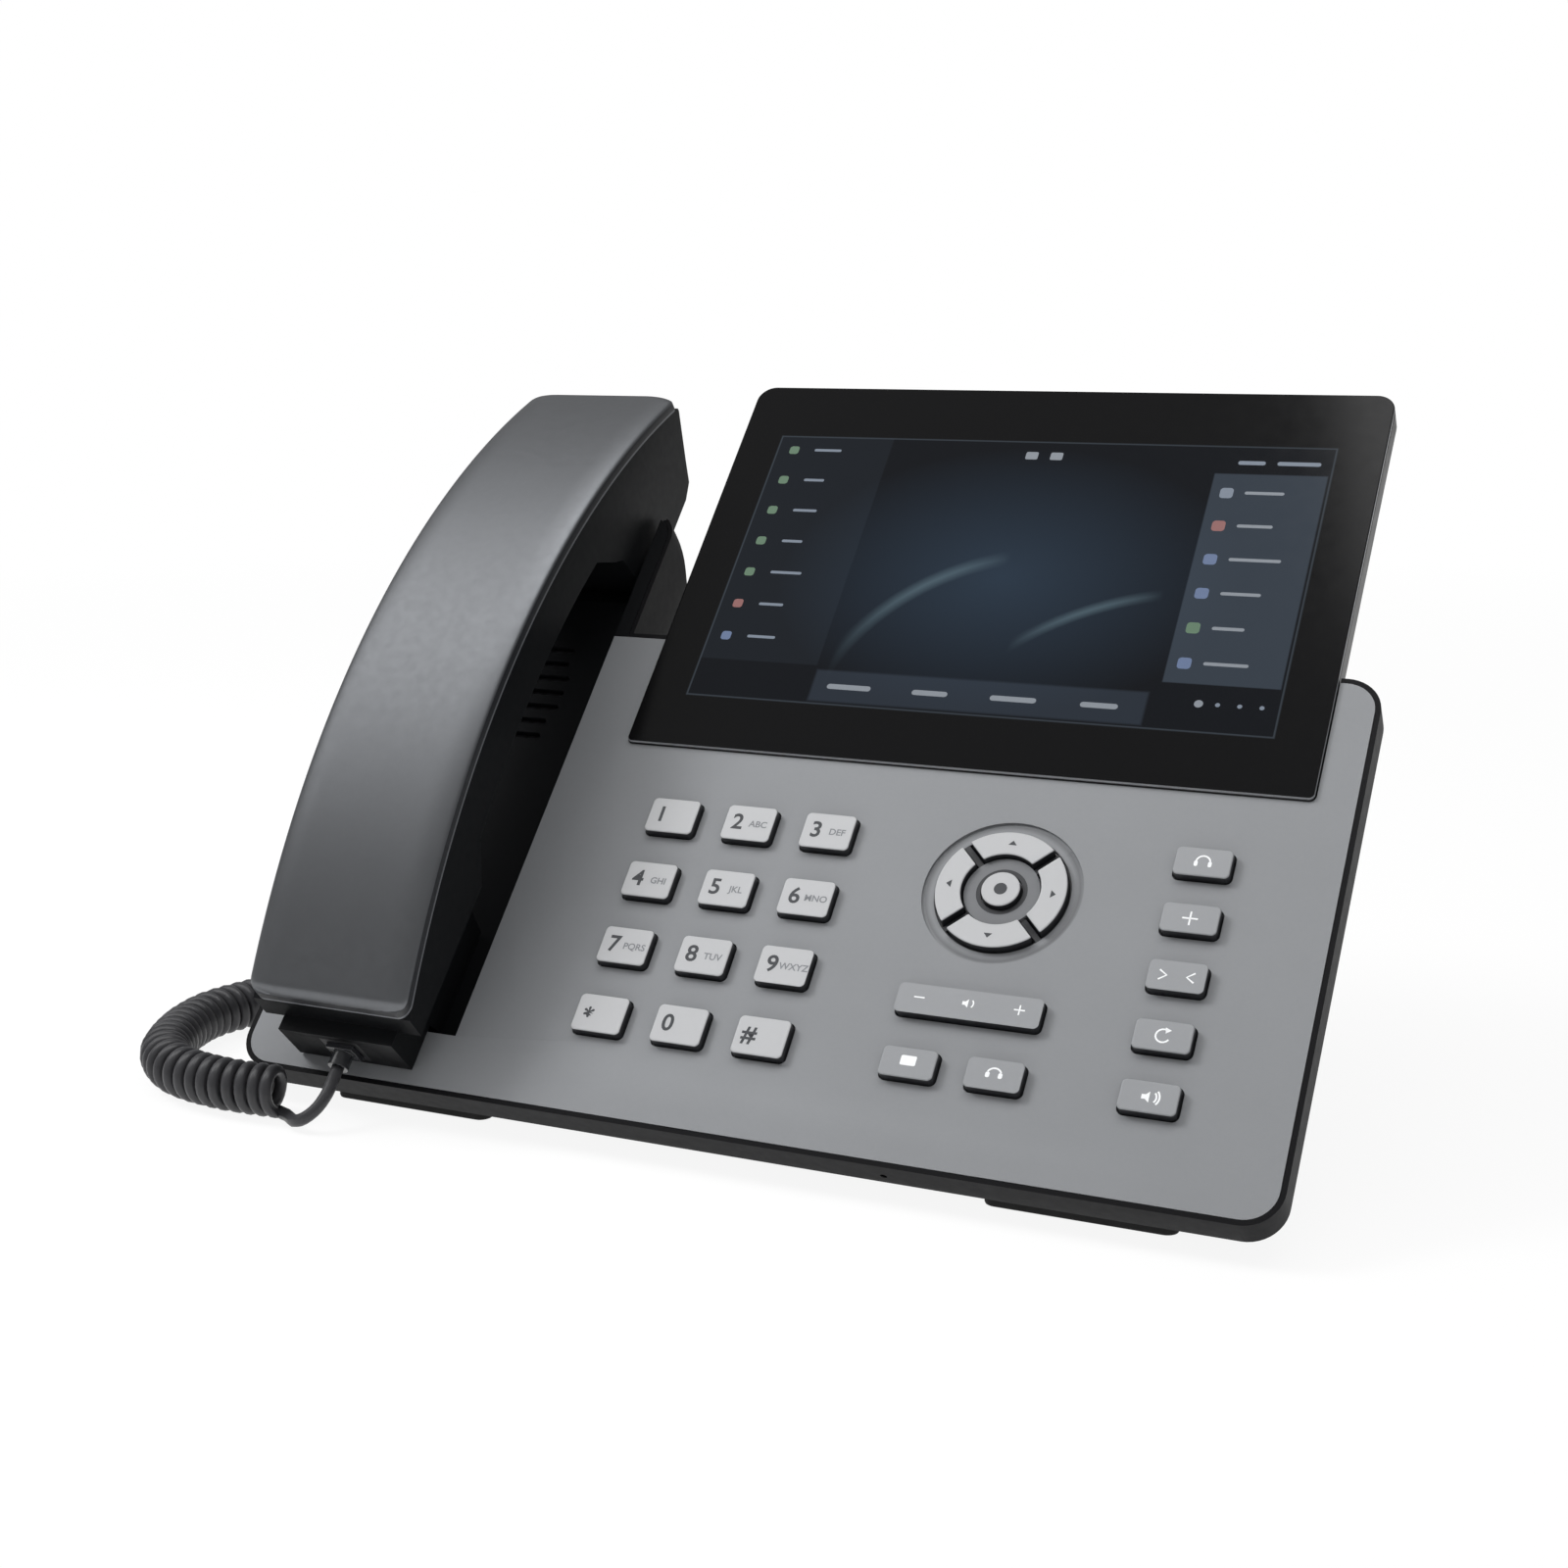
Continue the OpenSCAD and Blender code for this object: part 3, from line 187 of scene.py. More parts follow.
table = Finish("table_top", (250, 250, 250), 0.6)
sight = table.add("ShaderNodeLightPath", {}, {}, "Is Camera Ray")
in_gloss = table.add("ShaderNodeLightPath", {}, {}, "Is Glossy Ray")
through = table.add("ShaderNodeLightPath", {}, {}, "Is Transmission Ray")
cloudy = table.mix(table.noise(3.0), srgb(249, 249, 249), srgb(253, 253, 253))
table.feed(table.shader, {"Base Color": cloudy})
white = table.add("ShaderNodeEmission", {}, {"Color": (1, 1, 1, 1), "Strength": 1.0})
away_share = (table.length(table.place) - NEAR_REACH) / (FAR_REACH - NEAR_REACH)
whiter = away_share.most(0.0).least(1.0) * (1.0 - NEAR_WHITE) + NEAR_WHITE
seen = (sight + in_gloss + through).least(1.0)
shown = table.add("ShaderNodeMixShader", {}, {0: seen * whiter, 2: white})
table.tree.links.new(table.shader.outputs[0], shown.socket.node.inputs[1])
table.tree.links.new(shown.socket, table.tree.nodes["Material Output"].inputs["Surface"])

top = bpy.data.meshes.new("table_top")
half = TABLE_SIZE / 2
corners = [(-half, -half, 0), (half, -half, 0), (half, half, 0), (-half, half, 0)]
top.from_pydata(corners, [], [(0, 1, 2, 3)])
top.materials.append(table.material)
table_top = bpy.data.objects.new("table_top", top)
table_top.location.z = -TABLE_DROP
bpy.context.scene.collection.objects.link(table_top)

room = bpy.data.worlds.new("room")
room.use_nodes = True
bpy.context.scene.world = room
paths = room.node_tree.nodes.new("ShaderNodeLightPath")
plain = room.node_tree.nodes.new("ShaderNodeBackground")
plain.inputs["Color"].default_value = (1, 1, 1, 1)
plain.inputs["Strength"].default_value = 0.3
bright = room.node_tree.nodes.new("ShaderNodeBackground")
bright.inputs["Color"].default_value = (1, 1, 1, 1)
either = room.node_tree.nodes.new("ShaderNodeMath")
either.operation = "MAXIMUM"
choice = room.node_tree.nodes.new("ShaderNodeMixShader")
for start, end in ((paths.outputs["Is Camera Ray"], either.inputs[0]),
                   (paths.outputs["Is Transmission Ray"], either.inputs[1]),
                   (either.outputs[0], choice.inputs[0]),
                   (plain.outputs[0], choice.inputs[1]),
                   (bright.outputs[0], choice.inputs[2]),
                   (choice.outputs[0], room.node_tree.nodes["World Output"].inputs["Surface"])):
    room.node_tree.links.new(start, end)


def lamp(name, place, aim, size, power, mirrored=True):
    """A soft lamp, by its width and depth. Shiny surfaces may mirror it or not."""
    light = bpy.data.lights.new(name, "AREA")
    light.shape = "RECTANGLE"
    (light.size, light.size_y), light.energy = size, power
    holder = bpy.data.objects.new(name, light)
    holder.location = place
    holder.visible_glossy = mirrored
    holder.rotation_euler = (Vector(aim) - Vector(place)).to_track_quat("-Z", "Y").to_euler()
    bpy.context.scene.collection.objects.link(holder)
    return holder


lamp("left_lamp", (-0.82, -0.26, 0.92), (0, 0, 0.08), (0.36, 0.36), 7.5, mirrored=False)
ceiling_lamp = lamp("ceiling_lamp", (-0.37, -0.09, 1.3), (-0.08, -0.03, 0.1), (0.72, 2.4), 14.0)
lamp("back_lamp", (0.10, 0.14, 1.3), (0.12, 0, 0.1), (0.4, 0.5), 1.0)
lamp("right_fill", (1.1, -0.9, 0.7), (0, 0, 0.06), (0.9, 0.9), 1.2, mirrored=False)


# ---- Curly handset cord ---------------------------------------------------------------
# Four thin wires in a soft black jacket, wound hot into a tight coil with a straight tail at
# each end. It lies on the table and ends in a clip-in plug at the handset and one at the base.
WIRE = 0.0033
JACKET_RADIUS = WIRE * 0.48
WIRE_SIDES = 10
COIL_RADIUS = 0.0051
COIL_PITCH = 0.00345
TURN_STEPS = 18
TURN_OPENING = 0.8
SHARPEST_BEND = 60
SPAN_STEPS = 60
BEND_WINDOW = 13
TAIL_SPACING, COIL_SPACING, WIRE_SPACING = 0.0012, 0.0005, 0.0014
TAIL_OVERLAP = 9
NEAR_TAIL = [(-97.1, -83.4, 13.8), (-97.1, -85.9, 11.2), (-97, -88.4, 8.9), (-98, -91.4, 6),
             (-100.5, -93.4, 3.6), (-103.8, -92.8, 2.2), (-106.6, -90.6, 1.75),
             (-109.2, -88.9, 1.75), (-112, -88.4, 1.75)]
COIL_HEIGHT = 6.75
COIL_LINE = [(x, y, COIL_HEIGHT) for x, y in (
    (-112, -87.3), (-128, -88), (-144, -84.8), (-155, -76.8), (-161, -66.8), (-165, -54.8),
    (-166, -42.8), (-162, -28.8), (-156, -14.8), (-150, 1.2), (-144, 15.2), (-135, 26.2),
    (-124, 32.2))]
FAR_TAIL = [(-119, 34.9, 6.75), (-112.5, 36, 9.5), (-109, 32.5, 15), (-108.1, 27.5, 22),
            (-108.1, 21.5, 29), (-108.1, 14.6, 36), (-108.1, 8.18, 42.45), (-108.1, 6.06, 44.57)]


def flowing(points, spacing):
    """Points at an even spacing on a smooth line through a few, all in metres."""
    p = np.array(points, float) / 1000
    dense = []
    for i in range(len(p) - 1):
        a, b, c, d = p[max(i - 1, 0)], p[i], p[i + 1], p[min(i + 2, len(p) - 1)]
        slope, bend, twist = c - a, 2 * a - 5 * b + 4 * c - d, 3 * b - a - 3 * c + d
        for t in np.linspace(0, 1, SPAN_STEPS, endpoint=False):
            dense.append(b + 0.5 * t * (slope + t * (bend + t * twist)))
    dense = np.array(dense + [p[-1]])
    along = np.concatenate([[0], np.cumsum(np.linalg.norm(np.diff(dense, axis=0), axis=1))])
    stops = np.linspace(0, along[-1], max(int(along[-1] / spacing), 2) + 1)
    return np.column_stack([np.interp(stops, along, dense[:, k]) for k in range(3)])


def across_line(line):
    """At each point of a line, its direction, and two directions square to it."""
    ahead = np.gradient(line, axis=0)
    ahead /= np.linalg.norm(ahead, axis=1)[:, None]
    side = np.cross([0, 0, 1.0], ahead)
    side /= np.linalg.norm(side, axis=1)[:, None]
    return ahead, side, np.cross(ahead, side)


def coil(line, start_angle):
    """The wound wire round a line. Its turns open a little round the outside of a bend."""
    ahead, side, up = across_line(line)
    step = np.linalg.norm(line[1] - line[0])
    bend = np.linalg.norm(np.gradient(ahead, axis=0), axis=1) / step
    padded = np.pad(bend, BEND_WINDOW // 2, mode="edge")
    bend = np.convolve(padded, np.ones(BEND_WINDOW) / BEND_WINDOW, "valid")
    pitch = COIL_PITCH / (1 - COIL_RADIUS * np.minimum(bend, SHARPEST_BEND) * TURN_OPENING)
    angle = start_angle + np.concatenate([[0], np.cumsum(2 * math.pi * step / pitch[1:])])
    stops = np.arange(0, angle[-1] - start_angle, 2 * math.pi / TURN_STEPS) + start_angle
    count = np.arange(len(line))
    spot = np.interp(stops, angle, count)
    centre, out, rise = (np.column_stack([np.interp(spot, count, field[:, k]) for k in range(3)])
                         for field in (line, side, up))
    return centre + COIL_RADIUS * (np.cos(stops)[:, None] * out + np.sin(stops)[:, None] * rise)


near_tail = flowing(NEAR_TAIL, TAIL_SPACING)
far_tail = flowing([COIL_LINE[-1]] + FAR_TAIL, TAIL_SPACING)
wound = coil(flowing(COIL_LINE, COIL_SPACING), -math.pi / 2)
wire_line = np.vstack([near_tail[:-1], wound, far_tail[TAIL_OVERLAP:]])
even = flowing(wire_line * 1000, WIRE_SPACING)


def tube(line, radius, sides):
    """A round tube along a line, closed at both ends, as points and faces."""
    ahead = np.gradient(line, axis=0)
    ahead /= np.linalg.norm(ahead, axis=1)[:, None]
    side = np.cross(ahead[0], [0.3, 0.1, 1.0])
    points, faces = [], []
    for i, (spot, way) in enumerate(zip(line, ahead)):
        side = side - way * np.dot(side, way)
        side /= np.linalg.norm(side)
        up = np.cross(way, side)
        for k in range(sides):
            turn = 2 * math.pi * k / sides
            points.append(spot + radius * (math.cos(turn) * side + math.sin(turn) * up))
            if i:
                low, last = (i - 1) * sides, (k + 1) % sides
                faces.append((low + k, low + last, low + sides + last, low + sides + k))
    faces.append(tuple(range(sides))[::-1])
    faces.append(tuple((len(line) - 1) * sides + k for k in range(sides)))
    return points, faces


def piece(name, points, faces, *finishes, smooth=True):
    """A new mesh piece in the phone's own frame."""
    mesh = bpy.data.meshes.new(name)
    mesh.from_pydata([tuple(p) for p in points], [], faces)
    for finish in finishes:
        mesh.materials.append(finish.material)
    if smooth:
        mesh.shade_smooth()
    made = bpy.data.objects.new(name, mesh)
    bpy.context.scene.collection.objects.link(made)
    return made


jacket = Finish("cord_jacket", (24, 24, 26), 0.42, Specular_IOR_Level=0.4)
jacket_grain = jacket.noise(1800.0)
jacket_tone = jacket.mix(jacket.noise(60.0), srgb(48, 48, 50), srgb(64, 64, 67))
jacket.feed(jacket.shader, {"Base Color": jacket_tone,
                            "Roughness": 0.3 + jacket.noise(300.0) * 0.14})
jacket.bump(jacket_grain, 0.00003, 0.5)
handset_cord = piece("handset_cord", *tube(even, JACKET_RADIUS, WIRE_SIDES), jacket)
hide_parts("cord_tail_handset", "cord_coil", "cord_tail_base")
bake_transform(handset_cord)


# ---- Rear cover -----------------------------------------------------------------------
# The black lower half: one ABS moulding with a rim, the tall column behind the handset, the hump
# behind the display and the bay for the plugs. Its outside has a fine spark-eroded grain.
SLOPE = math.sqrt(0.5) / 1000
GLASS = 1.2
GLASS_FOOT = 106.2
glass_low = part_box("display_glass")[0]
face_edge = (glass_low.y - SLOPE * (GLASS_FOOT - GLASS), glass_low.z - SLOPE * GLASS_FOOT)


def face(x, y, z=0.0):
    """A point of the sloped face, from millimetres across it, up it and out of it."""
    return Vector((x / 1000, face_edge[0] + SLOPE * (y - z), face_edge[1] + SLOPE * (y + z)))


FACE_RIGHT = Vector((1, 0, 0))
FACE_UP = (face(0, 1) - face(0, 0)).normalized()
FACE_OUT = (face(0, 0, 1) - face(0, 0)).normalized()


def moulded(name, colour, roughness, grain=2600.0, depth=0.00002, tone=0.10, **sockets):
    """Moulded plastic: a fine grain, a slow change of tone and small changes of gloss."""
    finish = Finish(name, colour, roughness, **sockets)
    dark = tuple(c * (1 - tone) for c in colour)
    light = tuple(min(c * (1 + tone), 255) for c in colour)
    share = finish.noise(38.0, 3.0) * 0.7 + finish.noise(900.0) * 0.3
    finish.feed(finish.shader, {"Base Color": finish.mix(share, srgb(*dark), srgb(*light)),
                                "Roughness": (roughness - 0.06) + finish.noise(420.0) * 0.12})
    finish.bump(finish.noise(grain, 3.0), depth, 0.6)
    return finish


SAME_POINT = 0.000002
FLAT_ANGLE = math.radians(0.4)


def softened(node, name, finish, edge=0.3, steps=2, angle=38):
    """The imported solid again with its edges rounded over, in its finish, in the solid's place."""
    mesh = frame["nodes"][node].data.copy()
    mesh.name = name
    mesh.materials.clear()
    mesh.materials.append(finish.material)
    shape = bmesh.new()
    shape.from_mesh(mesh)
    bmesh.ops.remove_doubles(shape, verts=shape.verts, dist=SAME_POINT)
    bmesh.ops.dissolve_limit(shape, angle_limit=FLAT_ANGLE, verts=shape.verts, edges=shape.edges)
    for side in shape.faces:
        side.material_index = 0
    shape.to_mesh(mesh)
    shape.free()
    mesh.shade_smooth()
    mesh.set_sharp_from_angle(angle=math.radians(angle))
    made = bpy.data.objects.new(name, mesh)
    bpy.context.scene.collection.objects.link(made)
    if edge:
        rounding = made.modifiers.new("rounding", "BEVEL")
        rounding.width = edge / 1000
        rounding.segments = steps
        rounding.limit_method = "ANGLE"
        rounding.angle_limit = math.radians(angle)
        rounding.miter_outer = "MITER_ARC"
        rounding.harden_normals = True
    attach(made, frame["nodes"][node]["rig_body"])
    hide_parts(node)
    return made


body_black = moulded("case_black", (18, 18, 20), 0.52, Specular_IOR_Level=0.1)
softened("rear_cover", "rear_cover_moulding", body_black, 0.6, 3)


def finished(node, finish):
    """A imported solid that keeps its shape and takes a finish."""
    solid = frame["nodes"][node]
    solid.data.materials.clear()
    solid.data.materials.append(finish.material)


# ---- Boards, key mat and hook switch ----------------------------------------------------
# Two glass-epoxy boards under green resist, with their copper showing through as tracks. The grey
# silicone mat on the key board springs the keys back, and the hook switch sits under the plunger.
resist = Finish("board_resist", (18, 74, 42), 0.32, Coat_Weight=0.4)
tracks = resist.add("ShaderNodeTexBrick", {"offset": 0.5, "squash": 1.0},
                    {"Vector": resist.place, "Scale": 260.0, "Mortar Size": 0.03,
                     "Color1": (0, 0, 0, 1), "Color2": (0, 0, 0, 1), "Mortar": (1, 1, 1, 1)})
resist.feed(resist.shader, {"Base Color": resist.mix(tracks, srgb(16, 66, 38), srgb(38, 112, 62))})
resist.bump(tracks, 0.00003)
finished("main_board", resist)
finished("keypad_board", resist)

silicone = moulded("mat_silicone", (92, 93, 96), 0.62, 900.0)
finished("keypad_mat", silicone)

switch_black = moulded("switch_black", (38, 38, 40), 0.4)
finished("hook_switch", switch_black)
plunger_white = moulded("plunger_acetal", (226, 226, 222), 0.34, tone=0.03)
softened("hook_plunger", "hook_plunger_pin", plunger_white, 0.25)


# ---- Loudspeaker, microphone and receiver -----------------------------------------------
# A paper-cone loudspeaker with a black magnet fires through the slots in the cradle. The capsules
# are small nickel-silver cans: one at the front edge, two in the handset.
cone = Finish("speaker_paper", (34, 34, 37), 0.75)
rings = cone.add("ShaderNodeTexWave", {"wave_type": "RINGS", "rings_direction": "SPHERICAL"},
                 {"Vector": cone.place, "Scale": 120.0})
cone.feed(cone.shader, {"Base Color": cone.mix(rings, srgb(28, 28, 30), srgb(44, 44, 48))})
cone.bump(rings, 0.0002, 0.5)
finished("loudspeaker", cone)


def metal(name, dark, light, tone_scale, gloss_scale, roughness, spread):
    """Bare or plated metal, with a fine change of tone and of gloss."""
    finish = Finish(name, light, roughness, Metallic=1.0)
    tone = finish.mix(finish.noise(tone_scale), srgb(*dark), srgb(*light))
    gloss = roughness + finish.noise(gloss_scale) * spread
    finish.feed(finish.shader, {"Base Color": tone, "Roughness": gloss})
    return finish


nickel = metal("capsule_nickel", (168, 167, 160), (186, 185, 178), 700.0, 500.0, 0.26, 0.16)
for capsule in ("handsfree_mic", "handset_mic", "handset_receiver"):
    finished(capsule, nickel)


# ---- Display ----------------------------------------------------------------------------
# A black tray carries the panel, and a sheet of toughened glass with a black printed border lies
# over both. The panel shows a generic home picture: two side lists, a bar of keys and a page mark.
tray_black = moulded("display_tray_black", (20, 20, 22), 0.4)
softened("display_housing", "display_tray", tray_black, 0.8, 3)

cell = Finish("panel_cell", (18, 26, 36), 0.2)
cell_lines = cell.add("ShaderNodeTexWave", {"bands_direction": "X"},
                      {"Vector": cell.place, "Scale": 2000.0})
cell.feed(cell.shader, {"Base Color": cell.mix(cell_lines, srgb(16, 22, 32), srgb(22, 32, 44))})
finished("lcd_panel", cell)

SCREEN_LEFT, SCREEN_RIGHT = -45.0, 109.0
SCREEN_LOW, SCREEN_HIGH = 121.8, 212.4


def face_axes(finish):
    """Millimetres across the face and up it, as two signals."""
    split = finish.add("ShaderNodeSeparateXYZ", {}, {0: finish.place}).socket.node
    x, back, height = (Signal(finish, split.outputs[k]) for k in range(3))
    up_share = math.sqrt(0.5) * 1000
    return x * 1000.0, (back - face_edge[0]) * up_share + (height - face_edge[1]) * up_share


def turned_away(finish, start, blur):
    """1 on the sides that turn away from the face's own direction, 0 on what lies along it."""
    upright = finish.add("ShaderNodeNewGeometry", {}, {}, "Normal")
    facing = finish.add("ShaderNodeVectorMath", {"operation": "DOT_PRODUCT"},
                        {0: upright, 1: tuple(FACE_OUT)}, "Value")
    return ((start - facing) / blur).most(0.0).least(1.0)


glass = Finish("display_glass", (9, 9, 11), 0.12, Specular_IOR_Level=0.35)
across, upward = face_axes(glass)


def within(low_x, high_x, low_y, high_y, blur=0.35):
    """A soft-edged box on the glass, 1 inside."""
    edges = (across - low_x, high_x - across, upward - low_y, high_y - upward)
    nearest = edges[0].least(edges[1]).least(edges[2].least(edges[3]))
    return (nearest / blur).most(0.0).least(1.0)


def arc_glow(centre, radius, width, low_x, high_x):
    """A soft light streak along part of a circle on the glass."""
    spot = glass.add("ShaderNodeCombineXYZ", {}, {0: across - centre[0], 1: upward - centre[1]})
    distance = (glass.length(spot) - radius).size()
    share = (across - low_x) / (high_x - low_x)
    ends = (share * (1.0 - share) * 4.0).most(0.0)
    return (1.0 - distance / width).most(0.0) * ends


window = within(SCREEN_LEFT, SCREEN_RIGHT, SCREEN_LOW, SCREEN_HIGH)
middle = glass.add("ShaderNodeCombineXYZ", {},
                   {0: (across - 31.0) / 62.0, 1: (upward - 166.0) / 44.0})
paper = glass.mix(glass.length(middle).least(1.0), srgb(37, 51, 66), srgb(5, 8, 14))
left_list = within(SCREEN_LEFT, -11.0, 134.0, SCREEN_HIGH) * 0.06
right_list = within(79.0, 108.0, 136.0, 203.0) * 0.36
paper = glass.mix(left_list.most(right_list), paper, srgb(84, 96, 110))
key_bar = within(-11.0, 77.0, 122.6, 133.2, 0.8) * 0.22
paper = glass.mix(key_bar, paper, srgb(80, 92, 108))
FRAME_LINE = 0.5
inner = within(SCREEN_LEFT + FRAME_LINE, SCREEN_RIGHT - FRAME_LINE, SCREEN_LOW + FRAME_LINE,
               SCREEN_HIGH - FRAME_LINE, 0.2)
paper = glass.mix((1.0 - inner) * 0.2, paper, srgb(110, 122, 134))
left_streak = arc_glow((46.0, 117.0), 57.0, 2.6, -8.0, 32.0)
right_streak = arc_glow((88.0, 92.0), 72.0, 2.0, 38.0, 74.0)
paper = glass.mix(left_streak.most(right_streak) * 0.3, paper, srgb(120, 146, 158))
dust = glass.noise(260.0)
glass_black = glass.mix(window, srgb(10, 10, 12), srgb(6, 7, 10))
# Painted highlight: the glass's side faces are painted pale grey, for the light that its polished
# edge catches.
edge_painted_highlight = turned_away(glass, 0.8, 0.3)
glass.feed(glass.shader, {"Base Color": glass.mix(edge_painted_highlight, glass_black, srgb(150, 152, 156)),
                          "Roughness": 0.09 + dust * 0.08,
                          "Emission Color": glass.mix(window, (0, 0, 0, 1), paper),
                          "Emission Strength": 1.0})
glass_sheet = softened("display_glass", "display_glass_sheet", glass, 0.45, 3)
shaded = bpy.data.collections.new("shaded_from_ceiling_lamp")
shaded.objects.link(glass_sheet)
ceiling_lamp.light_linking.receiver_collection = shaded
shaded.collection_objects[0].light_linking.link_state = "EXCLUDE"


def bow(x, y, radius, low, high, steps=12):
    """Points along part of a circle, from one angle in degrees to another."""
    turns = [math.radians(low + (high - low) * k / steps) for k in range(steps + 1)]
    return [(x + radius * math.cos(turn), y + radius * math.sin(turn)) for turn in turns]


def rounded(x, y, wide, high, corner=0.5, steps=4):
    """The outline of a rounded box on the face, as points across and up."""
    corner = min(corner, wide / 2, high / 2)
    far, tall = wide / 2 - corner, high / 2 - corner
    outline = []
    for start, (right, up) in enumerate(((1, 1), (-1, 1), (-1, -1), (1, -1))):
        outline += bow(x + right * far, y + up * tall, corner, 90 * start, 90 * start + 90, steps)
    return outline


def disc(x, y, radius, steps=20):
    """The outline of a disc on the face."""
    return bow(x, y, radius, 0, 360, steps)[:-1]


def printed(name, outlines, height, body, slot, *finishes):
    """Flat marks on the face at one height. Each outline may name which finish it takes."""
    points, faces, picks = [], [], []
    for mark in outlines:
        outline, pick = mark if isinstance(mark, tuple) else (mark, 0)
        faces.append(tuple(range(len(points), len(points) + len(outline))))
        points += [face(x, y, height) for x, y in outline]
        picks.append(pick)
    made = piece(name, points, faces, *finishes, smooth=False)
    for side, pick in zip(made.data.polygons, picks):
        side.material_index = pick
    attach(made, body)


def lit(name, colour):
    """One colour of the picture: it glows, with the fine lines of the panel in it."""
    finish = Finish(name, tuple(c * 0.15 for c in colour), 0.3)
    dimmer = srgb(*(c * 0.94 for c in colour))
    finish.feed(finish.shader, {
        "Emission Color": finish.mix(finish.noise(700.0), dimmer, srgb(*colour)),
        "Emission Strength": 1.0})
    return finish


lit_white = lit("picture_white", (110, 118, 128))
lit_green = lit("picture_green", (44, 92, 54))
lit_blue = lit("picture_blue", (56, 84, 128))
lit_red = lit("picture_red", (120, 50, 46))
lit_grey = lit("picture_grey", (92, 106, 124))
WHITE, GREEN, BLUE, RED, GREY = range(5)
ROW_STEP = 10.85
marks = []
LEFT_ROWS = (GREEN, 8), (GREEN, 6), (GREEN, 7), (GREEN, 6), (GREEN, 9), (RED, 7), (BLUE, 8)
for row, (pick, length) in enumerate(LEFT_ROWS):
    y = 207.0 - row * ROW_STEP
    marks += [(rounded(-39.6, y, 2.8, 2.8, 0.8), pick),
              (rounded(-33.5 + length / 2, y + 0.2, length, 0.9, 0.4), GREY)]
RIGHT_ROWS = (GREY, 10), (RED, 9), (BLUE, 13), (BLUE, 10), (GREEN, 8), (BLUE, 11)
for row, (pick, length) in enumerate(RIGHT_ROWS):
    y = 196.4 - row * ROW_STEP
    marks += [(rounded(83.4, y, 3.4, 3.4, 0.9), pick),
              (rounded(88.0 + length / 2, y + 0.2, length, 1.0, 0.5), WHITE)]
for k in range(4):
    marks.append((rounded(-0.5 + k * 21.9, 127.8, 12.0 - (k % 2) * 2.5, 1.6, 0.8), WHITE))
marks.append((disc(89.2, 130.4, 1.1), WHITE))
marks += [(disc(93.8 + k * 5.3, 130.4, 0.6), GREY) for k in range(3)]
marks += [(rounded(x, 207.2, 3.4, 2.6, 0.5), WHITE) for x in (29.3, 36.1)]
marks += [(rounded(x, 206.6, wide, 1.3, 0.6), GREY) for x, wide in ((88.0, 7.0), (100.0, 11.0))]
printed("display_picture", marks, GLASS + 0.03, "base", "panel", lit_white, lit_green, lit_blue,
        lit_red, lit_grey)


# ---- Keys -------------------------------------------------------------------------------
# Hard ABS caps on the silicone mat, each in its own hole in the face. The dial keys are white and
# the rest take the face's grey. Digits and signs are pad-printed.
KEY_TOP = 2.2
NAV_TOP = 1.5
PRINT = 0.02
BOLDNESS = 0.00002
# Dark grey painted on the keys' sides as shade.
SKIRT_PAINTED_SHADE = srgb(38, 39, 42)


def capped(name, colour, **settings):
    """A key finish: its top in its own colour, and painted shade in dark grey on its sides."""
    finish = moulded(name, colour, 0.38, **settings)
    shade = Signal(finish, finish.shader.inputs["Base Color"].links[0].from_socket)
    # Painted shade: the sides that turn away from the face are darkened, for the shade they fall
    # in.
    shaded_skirt = finish.mix(turned_away(finish, 0.62, 0.2), shade, SKIRT_PAINTED_SHADE)
    finish.feed(finish.shader, {"Base Color": shaded_skirt})
    return finish


cap_white = capped("dial_key_white", (180, 181, 183), tone=0.02)
cap_grey = capped("function_key_grey", (143, 145, 148), tone=0.03)
ink_dark = moulded("dark_ink", (54, 56, 60), 0.5)
ink_pale = moulded("pale_ink", (242, 243, 245), 0.5, tone=0.02)
ink_faint = moulded("faint_ink", (120, 122, 126), 0.5)


def lettered(name, words, x, y, size, body, finish):
    """Printed characters on a dial key, as a flat mesh."""
    curve = bpy.data.curves.new(name, "FONT")
    curve.body, curve.size = words, size / 1000
    curve.align_x = curve.align_y = "CENTER"
    curve.resolution_u = 4
    curve.offset = size * BOLDNESS
    holder = bpy.data.objects.new(name + "_outline", curve)
    bpy.context.scene.collection.objects.link(holder)
    bpy.context.view_layer.update()
    depsgraph = bpy.context.evaluated_depsgraph_get()
    mesh = bpy.data.meshes.new_from_object(holder.evaluated_get(depsgraph))
    bpy.data.objects.remove(holder)
    turn = Matrix((FACE_RIGHT, FACE_UP, FACE_OUT)).transposed().to_4x4()
    mesh.transform(Matrix.Translation(face(x, y, KEY_TOP + PRINT)) @ turn)
    mesh.materials.clear()
    mesh.materials.append(finish.material)
    made = bpy.data.objects.new(name, mesh)
    bpy.context.scene.collection.objects.link(made)
    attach(made, body)


DIAL = [("key_1", "1", ""), ("key_2", "2", "ABC"), ("key_3", "3", "DEF"),
        ("key_4", "4", "GHI"), ("key_5", "5", "JKL"), ("key_6", "6", "MNO"),
        ("key_7", "7", "PQRS"), ("key_8", "8", "TUV"), ("key_9", "9", "WXYZ"),
        ("key_star", "*", ""), ("key_0", "0", ""), ("key_hash", "#", "")]
DIAL_X, DIAL_Y = -14.4, 64.8
DIAL_ACROSS, DIAL_UP = 21.2, 19.15
for place, (node, digit, letters) in enumerate(DIAL):
    x = DIAL_X + (place % 3 - 1) * DIAL_ACROSS
    y = DIAL_Y + (1 - place // 3) * DIAL_UP
    softened(node, node + "_cap", cap_white, 0.55, 4)
    middle = y - 1.2 if digit == "*" else y
    lettered(node + "_digit", digit, x - 3.0, middle, 6.2, node + "_body", ink_dark)
    if letters:
        lettered(node + "_letters", letters, x + 2.6, y - 0.2, 2.5, node + "_body", ink_faint)


